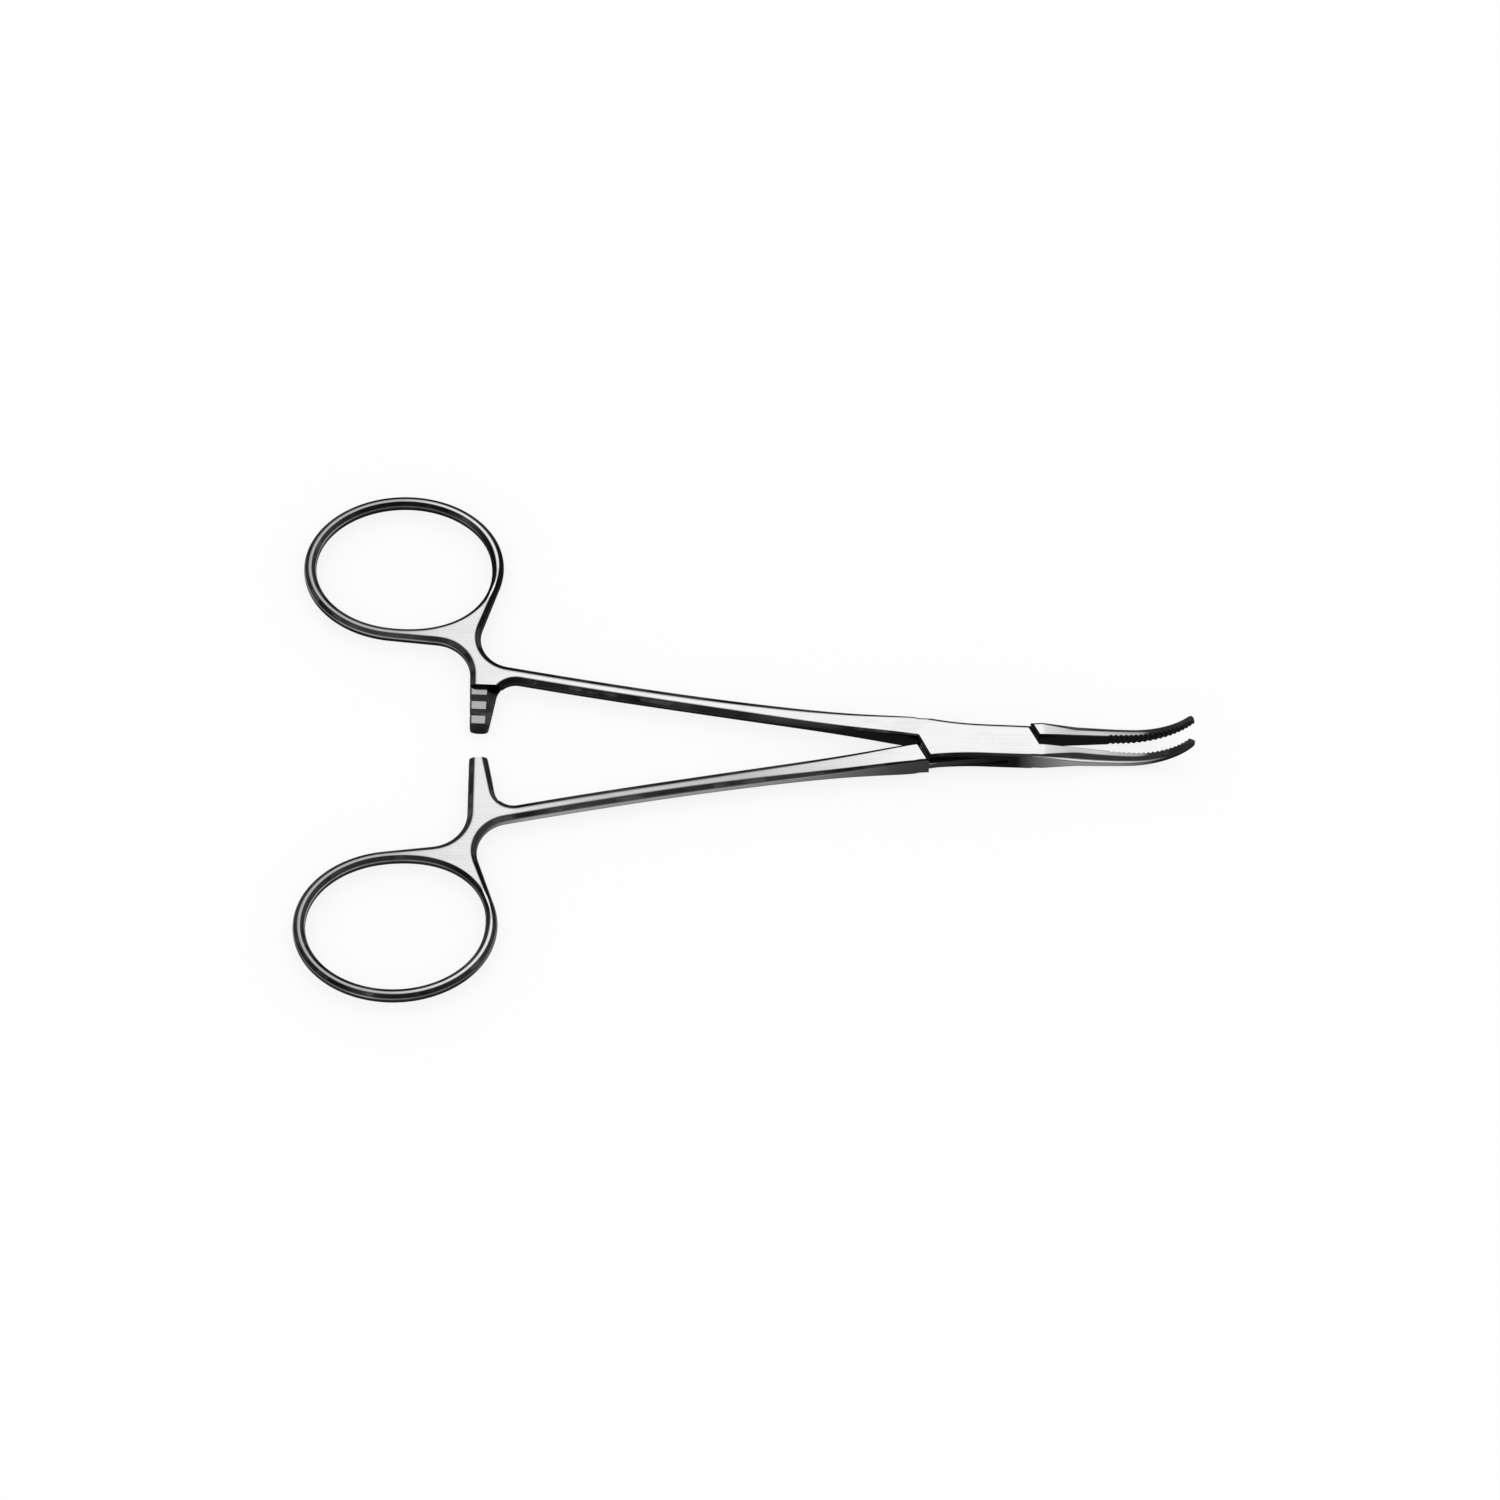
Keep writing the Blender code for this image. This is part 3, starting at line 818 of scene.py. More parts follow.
class Ratchet(SubAssembly):
    """The teeth, as the shape that is milled away over an arm."""

    def build(self, name: str) -> Piece:
        """Model the milled room: a step down from the web, then land and ramp in turn.

        Args:
            name: Name of the new tool.

        Returns:
            The tool for the female arm. The male one is the same turned over.
        """
        arm = self.sizes.arm
        top = self.sizes.shank.ring_thick
        valley = arm.bite - arm.depth
        profile = [(arm.wall, top), (arm.wall, arm.bite)]
        for i in range(arm.teeth):
            start = arm.wall - i * arm.pitch
            profile += [(start - arm.land, arm.bite), (start - arm.pitch, valley)]
            if i < arm.teeth - 1:
                profile.append((start - arm.pitch, arm.bite))
        end = arm.wall - arm.teeth * arm.pitch
        profile += [(end, -top), (end - 2 * top, -top), (end - 2 * top, top)]
        low_x = arm.back_x - self.sizes.ring.wire
        high_x = self.sizes.shank.end_x - arm.arm_fillet / 2
        return closed_loft(name, [[Vector((x, y, z)) for y, z in profile] for x in (low_x, high_x)])

    def bevel(self, name: str) -> Piece:
        """Model the wedge that slopes the front of the toothed arm.

        Args:
            name: Name of the new tool.

        Returns:
            The wedge for the female arm.
        """
        arm = self.sizes.arm
        top = self.sizes.shank.ring_thick
        wall = arm.wall - arm.bevel_gap
        reach = arm.teeth * arm.pitch
        fall = reach * math.tan(math.radians(arm.bevel_deg))
        far_x = arm.bevel_x + reach
        profile = [(arm.bevel_x, arm.bite), (far_x, arm.bite - fall), (far_x, top), (arm.bevel_x, top)]
        return closed_loft(name, [[Vector((x, y, z)) for x, z in profile] for y in (-top, wall)])

    def back_edge(self, name: str) -> Piece:
        """Model the bar that breaks the toothed arm's back edge.

        Args:
            name: Name of the new tool.

        Returns:
            The bar for the female arm.
        """
        arm = self.sizes.arm
        lean = math.tan(math.radians(arm.back_lean_deg))
        low = Vector((arm.back_x - lean * arm.overreach, -arm.overreach - 1, arm.bite))
        high = Vector((arm.back_x + lean * (arm.wall + arm.overreach), arm.wall - arm.back_bevel, arm.bite))
        return chamfer(name, low, high, arm.back_bevel)


class Jaw(SubAssembly):
    """The male jaw, on the +Y side. The female one is its mirror image."""

    def build(self, name: str) -> Piece:
        """Loft the jaw through its sections.

        Args:
            name: Name of the new piece.

        Returns:
            The jaw, closed at both ends.
        """
        return closed_loft(name, [self._section(*station) for station in self._stations()])

    def _thickness(self, run: float) -> float:
        """Thickness at a run past the start of the bend.

        Args:
            run: Length along the centre line, below 0 on the straight part.

        Returns:
            The thickness there.
        """
        jaw = self.sizes.jaw
        shank = self.sizes.shank
        if run <= 0:
            share = max(0.0, 1 + run / (jaw.straight_x - jaw.round_from_x))
            fall = 1 - (1 - share**jaw.taper_start) ** jaw.taper
            return mix(shank.box_thick - shank.flush_step, jaw.thick_at_bend, fall)
        return mix(jaw.thick_at_bend, jaw.thick_at_tip, run / jaw.length)

    def _frame(self, run: float) -> tuple[float, float, float]:
        """Centre line at a run past the start of the bend.

        Args:
            run: Length along the centre line, below 0 on the straight part.

        Returns:
            Place in X, place in Z and lean in radians.
        """
        jaw = self.sizes.jaw
        full = self.sizes.shank.box_thick - self.sizes.shank.flush_step
        if run <= 0:
            return jaw.straight_x + run, (self._thickness(run) - full) / 2, 0.0
        lean = run / jaw.bend_radius
        x = jaw.straight_x + jaw.bend_radius * math.sin(lean)
        z = jaw.bend_radius * (1 - math.cos(lean)) + (jaw.thick_at_bend - full) / 2
        return x, z, lean

    def _section(self, run: float, groove: float, shrink: float) -> Points:
        """One section: a flat inner face with eased edges, and a back that turns from square to round.

        Args:
            run: Where it stands along the centre line.
            groove: How far the inner face is set back by a serration.
            shrink: How far the whole section is drawn in, for the blunt tip.

        Returns:
            The section's points in space.
        """
        jaw = self.sizes.jaw
        x, z, lean = self._frame(run)
        half = self._thickness(run) / 2 - shrink
        inner = jaw.inner(x) + shrink
        back = jaw.back(x) - shrink
        roundness = clamp((x - jaw.round_from_x) / (jaw.round_to_x - jaw.round_from_x))
        ease = min(jaw.inner_edge, (back - inner) / 8)
        radius_y = mix(jaw.root_round, jaw.back_round * (back - inner), roundness)
        radius_z = mix(jaw.root_round, jaw.side_round * half, roundness)
        upper = [(inner + groove, half - ease), (inner + groove + ease, half)]
        for i in range(jaw.back_steps + 1):
            turn = math.pi / 2 * (1 - i / jaw.back_steps)
            upper.append((back - radius_y * (1 - math.cos(turn)), half - radius_z * (1 - math.sin(turn))))
        profile = upper + [(y, -height) for y, height in upper[::-1]]
        return [Vector((x - h * math.sin(lean), y, z + h * math.cos(lean))) for y, h in profile]

    def _stations(self) -> list[tuple[float, float, float]]:
        """Where the sections stand: run, depth of groove and draw-in at the tip.

        Returns:
            The stations from root to tip.
        """
        jaw = self.sizes.jaw
        teeth = round(jaw.serration_length / jaw.serration_pitch)
        serrated_from = jaw.length - jaw.tip_round - teeth * jaw.serration_pitch
        root = self.sizes.box.jaw_x - 2 * self.sizes.box.edge_round - jaw.straight_x
        first = jaw.round_from_x - jaw.straight_x
        shares = [(i / jaw.root_stations) ** jaw.root_spacing for i in range(jaw.root_stations)]
        plain = [mix(first, serrated_from, share) for share in shares]
        stations = [(run, 0.0, 0.0) for run in [root, *plain]]
        for i in range(teeth):
            crest = serrated_from + i * jaw.serration_pitch
            stations += [(crest, 0.0, 0.0), (crest + jaw.serration_pitch / 2, jaw.serration_depth, 0.0)]
        stations.append((jaw.length - jaw.tip_round, 0.0, 0.0))
        for i in range(1, jaw.tip_steps):
            turn = math.pi * jaw.tip_sweep * i / (jaw.tip_steps - 1)
            run = jaw.length - jaw.tip_round * (1 - math.sin(turn))
            stations.append((run, 0.0, jaw.tip_round * jaw.tip_draw * (1 - math.cos(turn))))
        return stations


class BoxLock(SubAssembly):
    """The joint: the female box and its slot, and the male web that turns in it."""

    def body(self, name: str) -> Piece:
        """Model the female box before it is slotted.

        Args:
            name: Name of the new piece.

        Returns:
            The box with two mouths, two waisted sides, and a root in its shank and in its jaw.
        """
        box, jaw, shank = self.sizes.box, self.sizes.jaw, self.sizes.shank
        inner = jaw.inner(jaw.crotch_x)
        foot = self._handle_mouth(-box.half_width_at_handle)
        brow = self._jaw_mouth(box.half_width_at_jaw)
        root_y = shank.centre(shank.shoulder_x)
        root_half = shank.width(shank.shoulder_x) / 2 - 2 * shank.edge_round_at_box
        outline = box.side(foot.x, box.jaw_x, -1)
        crowns = [box.crown] * len(outline)
        outline += [
            Vector((jaw.crotch_x + box.edge_round, -jaw.back_at_root + 2 * box.edge_round)),
            Vector((jaw.crotch_x + box.edge_round, -inner - box.edge_round)),
            self._jaw_mouth(-inner),
        ]
        crowns += [box.crown_at_jaw] * 3
        far_side = box.side(brow.x, shank.crotch_x, 1)
        crowns += [box.crown] * len(far_side)
        outline += far_side
        outline += [
            Vector((shank.shoulder_x, root_y + root_half)),
            Vector((shank.shoulder_x, root_y - root_half)),
            self._handle_mouth(shank.crotch_gap / 2),
        ]
        crowns += [1.0] * (len(outline) - len(crowns))
        half = shank.box_thick / 2
        loops = rim_loops(outline, 1, lambda x: half, lambda x: box.rim, box.rim_steps, crowns)
        return closed_loft(name, loops)

    def slot(self, name: str) -> Piece:
        """Model the room of the slot, open on both long sides.

        Args:
            name: Name of the new tool.

        Returns:
            The slot's room.
        """
        box = self.sizes.box
        start = self._slot_end(-1, 0.0)
        end = self._slot_end(1, 0.0)
        return slab(name, start, end, unit(box.slot_end_deg), box.reach, box.web_thick / 2 + box.web_gap)

    def envelope(self, name: str) -> Piece:
        """Model the room that the female box takes up, mouth to mouth.

        Args:
            name: Name of the new tool.

        Returns:
            The box's room.
        """
        box = self.sizes.box
        start = self._handle_mouth(0.0, box.mouth_gap)
        end = self._jaw_mouth(0.0, box.mouth_gap)
        return slab(name, start, end, unit(90 + box.mouth_deg), box.reach, self.sizes.shank.box_thick)

    def shoulder_bars(self) -> list[Piece]:
        """Model the bars that break the edges of the male shoulders, above and below.

        Returns:
            The four bars.
        """
        box = self.sizes.box
        top = (self.sizes.shank.box_thick - self.sizes.shank.flush_step) / 2
        reach = box.reach / 3
        bars = []
        for mouth, end in ((self._handle_mouth, "handle"), (self._jaw_mouth, "jaw")):
            for z in (-top, top):
                low = mouth(-reach, box.mouth_gap).to_3d() + Vector((0, 0, z))
                high = mouth(reach, box.mouth_gap).to_3d() + Vector((0, 0, z))
                bars.append(chamfer(f"{end}_shoulder_edge", low, high, box.shoulder_break))
        return bars

    def web(self, name: str) -> Piece:
        """Model the thin web that joins the male shank to the male jaw.

        Args:
            name: Name of the new piece.

        Returns:
            The web, rooted in shank and jaw.
        """
        box, jaw, shank = self.sizes.box, self.sizes.jaw, self.sizes.shank
        foot = self._handle_mouth(-box.half_width_at_handle)
        brow = self._jaw_mouth(box.half_width_at_jaw)
        gap = box.slot_end_gap
        inner = jaw.inner(jaw.crotch_x)
        low = self._slot_end(1, -box.half_width(box.jaw_x) + box.web_set_back, gap)
        high = self._slot_end(-1, box.half_width(-box.jaw_x) - box.web_set_back, gap)
        root_x = shank.crotch_x - box.web_thick
        root_y = shank.centre(root_x)
        root_half = shank.width(root_x) / 2 - box.web_thick / 4
        jaw_x = jaw.crotch_x + box.web_thick
        outline = [Vector((root_x, -root_y - root_half))]
        outline += box.side(foot.x, low.x, -1, box.web_set_back)
        outline += [
            self._slot_end(1, -inner, gap + box.mouth_gap),
            self._jaw_mouth(inner, -box.mouth_gap),
            Vector((jaw_x, jaw.inner(jaw_x) + box.web_thick / 4)),
            Vector((jaw_x, jaw.back_at_root - box.web_thick / 2)),
        ]
        outline += box.side(brow.x, high.x, 1, box.web_set_back)
        outline += [self._slot_end(-1, -shank.crotch_gap / 2, gap), Vector((root_x, -root_y + root_half))]
        half = box.web_thick / 2
        return closed_loft(name, [[p.to_3d() + Vector((0, 0, z)) for p in outline] for z in (-half, half)])

    def _handle_mouth(self, y: float, gap: float = 0.0) -> Vector:
        """A point of the slanted mouth at the handle end, moved out from the box by gap.

        Args:
            y: Place along Y.
            gap: How far out the point moves.

        Returns:
            The point in plan.
        """
        box, shank = self.sizes.box, self.sizes.shank
        lean = math.radians(box.mouth_deg)
        x = shank.crotch_x - (y - shank.crotch_gap / 2) * math.tan(lean) - gap / math.cos(lean)
        return Vector((x, y))

    def _jaw_mouth(self, y: float, gap: float = 0.0) -> Vector:
        """A point of the slanted mouth at the jaw end, in the same way.

        Args:
            y: Place along Y.
            gap: How far out the point moves.

        Returns:
            The point in plan.
        """
        jaw = self.sizes.jaw
        lean = math.radians(self.sizes.box.mouth_deg)
        crotch_y = -jaw.inner(jaw.crotch_x)
        return Vector((jaw.crotch_x - (y - crotch_y) * math.tan(lean) + gap / math.cos(lean), y))

    def _slot_end(self, towards: int, y: float, gap: float = 0.0) -> Vector:
        """A point of the slanted end wall of the slot.

        Args:
            towards: -1 for the handle end and 1 for the jaw end.
            y: Place along Y.
            gap: How far in the point moves.

        Returns:
            The point in plan.
        """
        box, jaw, shank = self.sizes.box, self.sizes.jaw, self.sizes.shank
        way = unit(box.slot_end_deg)
        inwards = Vector((-way.y, way.x)) * towards
        if towards < 0:
            base = Vector((shank.crotch_x - box.slot_end_gap, 0.0))
        else:
            base = Vector((jaw.crotch_x + box.slot_end_gap, -jaw.inner(jaw.crotch_x)))
        start = base + inwards * gap
        return start + way * ((y - start.y) / way.y)


class PivotPin(SubAssembly):
    """Rivet through box and web, and the bores that it needs."""

    def rod(self, name: str, radius: float, half_length: float) -> Piece:
        """Add a round rod about the pivot axis.

        Args:
            name: Name of the rod.
            radius: Its radius.
            half_length: Half its length.

        Returns:
            The rod, centred on the mid-plane.
        """
        clear_selection()
        bpy.ops.mesh.primitive_cylinder_add(
            vertices=self.sizes.pin.sides, radius=radius * MM, depth=2 * half_length * MM, location=(0, 0, 0)
        )
        rod = bpy.context.object
        rod.name = name
        return rod

    def bore(self, name: str, gap: float) -> Piece:
        """Model the room that the rivet takes up in a half, with a gap all round."""
        return self.rod(name, self.sizes.pin.radius + gap, self.sizes.shank.box_thick)

    def build(self, name: str) -> Piece:
        """Model the rivet, its rims just broken.

        Args:
            name: Name of the new piece.

        Returns:
            The rivet where it lies in the finished instrument.
        """
        pin = self.rod(name, self.sizes.pin.radius, self.sizes.shank.box_thick / 2)
        rims = pin.modifiers.new("broken_rims", "BEVEL")
        rims.width = self.sizes.pin.edge_break * MM
        rims.segments = self.sizes.pin.break_steps
        bpy.ops.object.modifier_apply(modifier=rims.name)
        pin.location.z = self.sizes.shank.box_thick / 2 * MM
        bake_place(pin)
        smooth(pin, self.sizes.pin.smooth_deg)
        return pin


class Forging(SubAssembly):
    """One half of the instrument, forged in one piece from finger ring to jaw tip."""

    def build(self, half: Half) -> Piece:
        """Model a half and swing it to where it rests.

        Args:
            half: Which half to model.

        Returns:
            The finished forging.
        """
        name = half.node + "_forging"
        piece = self._female(name) if half is Half.FEMALE else self._male(name)
        piece.rotation_euler.z = math.radians(half.swing_deg)
        piece.location.z = self.sizes.shank.box_thick / 2 * MM
        bake_place(piece)
        smooth(piece, SMOOTH_DEG)
        return piece

    def _toothed_handle(self, name: str, turned: bool) -> Piece:
        """Ring and shank with the teeth milled in, turned over for the male half.

        Args:
            name: Name of the new piece.
            turned: Whether it is turned over, as on the male half.

        Returns:
            The handle with its teeth.
        """
        piece = Handle(self.sizes).build(name)
        ratchet = Ratchet(self.sizes)
        tools = [ratchet.build("teeth"), ratchet.bevel("front_bevel"), ratchet.back_edge("back_bevel")]
        if turned:
            for shape in (piece, *tools):
                shape.rotation_euler = Vector((math.pi, 0.0, 0.0))
                bake_place(shape)
        for tool in tools:
            combine(piece, Cut.TAKE, tool)
        return piece

    def _female(self, name: str) -> Piece:
        """Ring, shank, box and the jaw on the far side of the pivot, slotted for the web.

        Args:
            name: Name of the new piece.

        Returns:
            The closed female half about its pivot.
        """
        lock = BoxLock(self.sizes)
        piece = self._toothed_handle(name, turned=False)
        jaw = Jaw(self.sizes).build("female_jaw")
        jaw.scale.y = -1
        bake_place(jaw)
        face_outwards(jaw)
        combine(piece, Cut.ADD, lock.body("box"))
        combine(piece, Cut.ADD, jaw)
        combine(piece, Cut.TAKE, lock.slot("slot"))
        combine(piece, Cut.TAKE, PivotPin(self.sizes).bore("pin_seat", self.sizes.pin.seat_gap))
        return piece

    def _male(self, name: str) -> Piece:
        """Ring, shank, thin web and jaw, full thickness only outside the box.

        Args:
            name: Name of the new piece.

        Returns:
            The closed male half about its pivot.
        """
        lock = BoxLock(self.sizes)
        piece = self._toothed_handle(name, turned=True)
        combine(piece, Cut.ADD, Jaw(self.sizes).build("male_jaw"))
        for tool in (lock.envelope("shoulders"), *lock.shoulder_bars()):
            combine(piece, Cut.TAKE, tool)
        combine(piece, Cut.ADD, lock.web("web"))
        combine(piece, Cut.TAKE, PivotPin(self.sizes).bore("pin_bore", self.sizes.pin.running_gap))
        return piece


class NodeSketch:
    """Short calls for adding and joining nodes in one tree."""

    def __init__(self, tree: bpy.types.NodeTree) -> None:
        """Keep the tree that nodes go into."""
        self.tree = tree

    def add(self, kind: str, **values: object) -> bpy.types.Node:
        """Add a node.

        Args:
            kind: Blender's name of the node type.
            **values: Its properties.

        Returns:
            The node.
        """
        node = self.tree.nodes.new(kind)
        for key, value in values.items():
            setattr(node, key, value)
        return node

    def feed(self, socket: Socket, source: Source) -> None:
        """Join a socket to another one, or give it a plain value.

        Args:
            socket: The socket to feed.
            source: The other socket, or the value.
        """
        if isinstance(source, bpy.types.NodeSocket):
            self.tree.links.new(source, socket)
        else:
            socket.default_value = source

    def feed_all(self, node: bpy.types.Node, sources: dict[str, Source]) -> bpy.types.Node:
        """Feed several inputs of a node.

        Args:
            node: The node.
            sources: Names of its inputs, each with what goes in.

        Returns:
            The same node.
        """
        for label, source in sources.items():
            self.feed(node.inputs[label], source)
        return node

    def maths(self, operation: str, *sources: Source) -> Socket:
        """Add a sum of up to three values.

        Args:
            operation: Blender's name of the sum.
            *sources: Its values or sockets, in order.

        Returns:
            The socket with the result.
        """
        node = self.add("ShaderNodeMath", operation=operation)
        for socket, source in zip(node.inputs, sources):
            self.feed(socket, source)
        return node.outputs[0]

    def ramp(
        self, value: Source, low: Source, high: Source, to_low: Source = 0.0, to_high: Source = 1.0
    ) -> Socket:
        """Turn a span of values smoothly into another span.

        Args:
            value: The socket to read.
            low: Where the span starts.
            high: Where the span ends.
            to_low: What the start becomes.
            to_high: What the end becomes.

        Returns:
            The socket with the result.
        """
        node = self.add("ShaderNodeMapRange", interpolation_type="SMOOTHSTEP")
        for socket, source in zip(node.inputs, (value, low, high, to_low, to_high)):
            self.feed(socket, source)
        return node.outputs["Result"]

    def blend(self, factor: Source, first: Source, second: Source) -> Socket:
        """Mix two values.

        Args:
            factor: Share of the second one.
            first: The value at a factor of 0.
            second: The value at a factor of 1.

        Returns:
            The socket with the result.
        """
        node = self.add("ShaderNodeMix", data_type="FLOAT")
        for socket, source in zip(node.inputs[:1] + node.inputs[2:4], (factor, first, second)):
            self.feed(socket, source)
        return node.outputs[0]

    def coordinates(self, kind: str) -> Socket:
        """Coordinates of this kind, such as Object or Normal."""
        return self.add("ShaderNodeTexCoord").outputs[kind]

    def axes(self, vector: Socket) -> list[Socket]:
        """X, Y and Z of a vector, as three sockets."""
        return list(self.feed_all(self.add("ShaderNodeSeparateXYZ"), {"Vector": vector}).outputs)

    def upward(self) -> Socket:
        """How flat a face lies: 1 for one that faces straight up or down, 0 for an upright one."""
        return self.maths("ABSOLUTE", self.axes(self.coordinates("Normal"))[2])

    def noise(self, place: Socket, scale: Source, detail: float, swirl: float = 0.0) -> Socket:
        """Add soft noise.

        Args:
            place: The coordinates that it follows.
            scale: How fine it is.
            detail: How many finer layers it has.
            swirl: How far it is twisted.

        Returns:
            The socket with its value.
        """
        node = self.add("ShaderNodeTexNoise")
        self.feed_all(node, {"Vector": place, "Scale": scale, "Detail": detail, "Distortion": swirl})
        return node.outputs["Fac"]

    def group(self, effect: Callable[[], bpy.types.NodeTree]) -> bpy.types.Node:
        """Add a shared effect, and draw its group when it is first asked for."""
        tree = bpy.data.node_groups.get(effect.__name__) or effect()
        return self.add("ShaderNodeGroup", node_tree=tree)


class Effects:
    """Shader node groups that all the steels share.

    A span reads: from, to, and what both ends become, 0 and 1 where left out.
    """

    # Patches for the painted rim reflection and the painted highlight line.
    RIM_PATCHES = (0.36, 0.64, 0.35, 2.1)
    LINE_PATCHES = (0.40, 0.60, 0.35, 1.0)
    FINE_LINES = (0.38, 0.66)
    WORN_LINES = (0.35, 0.65, 0.35, 1.0)
    SMEARS = (0.45, 0.75)
    SMEAR_SWIRL = 0.6
    TURN_FROM = (0.55, 0.80)
    TURN_TO = (0.90, 0.99)
    RUBBED = (0.52, 0.66)

    @staticmethod
    def _open(
        name: str, inputs: dict[str, float], output: str
    ) -> tuple[NodeSketch, bpy.types.bpy_prop_collection, Socket]:
        """Start a group with its named sockets.

        Args:
            name: Name of the group, the same as of the method that draws it.
            inputs: Names and starting values of its inputs.
            output: Name of its output.

        Returns:
            The sketch to add nodes with, the group's given values by name and the socket of its output.
        """
        tree = bpy.data.node_groups.new(name, "ShaderNodeTree")
        for label, value in inputs.items():
            socket = tree.interface.new_socket(name=label, in_out="INPUT", socket_type="NodeSocketFloat")
            socket.default_value = value
        tree.interface.new_socket(name=output, in_out="OUTPUT", socket_type="NodeSocketFloat")
        sketch = NodeSketch(tree)
        given = sketch.add("NodeGroupInput").outputs
        return sketch, given, sketch.add("NodeGroupOutput").inputs[output]

    @staticmethod
    def side_tones() -> bpy.types.NodeTree:
        """Tone with painted reflections by face angle: bright flats, dark rims with a painted highlight
        line, own tone on sides.

        Returns:
            The group. Tone goes to a base colour.
        """
        inputs = {
            "Flat Tone": 0.9,
            "Rim Tone": 0.13,
            "Side Tone": 0.01,
            "Dark From": 0.94,
            "Bright From": 0.99,
            "Side From": 0.25,
            "Side To": 0.45,
            "Line Tone": 0.3,
            "Line At": 0.45,
            "Line Reach": 0.2,
            "Drift": 75.0,
        }
        sketch, given, tone = Effects._open("side_tones", inputs, "Tone")
        upward = sketch.upward()
        # Painted reflection: flats facing straight up or down take the bright tone.
        painted_bright_share = sketch.ramp(upward, given["Dark From"], given["Bright From"])
        # Drift sets patches that vary the painted rim and highlight tones.
        drift = sketch.noise(sketch.coordinates("Object"), given["Drift"], 3.0)
        rim = sketch.maths("MULTIPLY", given["Rim Tone"], sketch.ramp(drift, *Effects.RIM_PATCHES))
        # Painted dark reflection on upright sides.
        upright = sketch.ramp(upward, given["Side From"], given["Side To"], 1.0, 0.0)
        side = sketch.blend(upright, rim, given["Side Tone"])
        # Painted highlight: a light line where a rim turns past Line At.
        off = sketch.maths("ABSOLUTE", sketch.maths("SUBTRACT", upward, given["Line At"]))
        line = sketch.ramp(off, 0.0, given["Line Reach"], 1.0, 0.0)
        line = sketch.maths("MULTIPLY", line, sketch.ramp(drift, *Effects.LINE_PATCHES))
        side = sketch.blend(line, side, given["Line Tone"])
        sketch.feed(tone, sketch.blend(painted_bright_share, side, given["Flat Tone"]))
        return sketch.tree

    @staticmethod
    def polish_lines() -> bpy.types.NodeTree:
        """Fine lines that buffing leaves along the length, broken up by a slower drift.

        Returns:
            The group. Lines runs from 0 to 1, for tone, roughness and a bump.
        """
        inputs = {"Along": 90.0, "Across": 4200.0, "Drift": 160.0}
        sketch, given, lines = Effects._open("polish_lines", inputs, "Lines")
        place = sketch.coordinates("Object")
        stretched = sketch.add("ShaderNodeCombineXYZ")
        for socket, axis, label in zip(stretched.inputs, sketch.axes(place), ("Along", "Across", "Across")):
            sketch.feed(socket, sketch.maths("MULTIPLY", axis, given[label]))
        fine = sketch.ramp(sketch.noise(stretched.outputs[0], 1.0, 3.0), *Effects.FINE_LINES)
        worn = sketch.ramp(sketch.noise(place, given["Drift"], 2.0), *Effects.WORN_LINES)
        sketch.feed(lines, sketch.maths("MULTIPLY", fine, worn))
        return sketch.tree

    @staticmethod
    def handling_film() -> bpy.types.NodeTree:
        """Thin film from handling, in soft smears.

        Returns:
            The group. Film runs from 0 to 1.
        """
        sketch, given, film = Effects._open("handling_film", {"Smears": 70.0}, "Film")
        smears = sketch.noise(sketch.coordinates("Object"), given["Smears"], 4.0, Effects.SMEAR_SWIRL)
        sketch.feed(film, sketch.ramp(smears, *Effects.SMEARS))
        return sketch.tree

    @staticmethod
    def edge_wear() -> bpy.types.NodeTree:
        """Where rims are rubbed brighter: only on the turn of a rim, and patchy.

        Returns:
            The group. Wear runs from 0 to 1.
        """
        sketch, given, wear = Effects._open("edge_wear", {"Patches": 240.0, "Amount": 0.6}, "Wear")
        upward = sketch.upward()
        short_of_flat = sketch.maths("SUBTRACT", 1.0, sketch.ramp(upward, *Effects.TURN_TO))
        turn = sketch.maths("MULTIPLY", sketch.ramp(upward, *Effects.TURN_FROM), short_of_flat)
        patches = sketch.noise(sketch.coordinates("Object"), given["Patches"], 5.0)
        rubbed = sketch.maths("MULTIPLY", turn, sketch.ramp(patches, *Effects.RUBBED))
        sketch.feed(wear, sketch.maths("MULTIPLY", rubbed, given["Amount"]))
        return sketch.tree


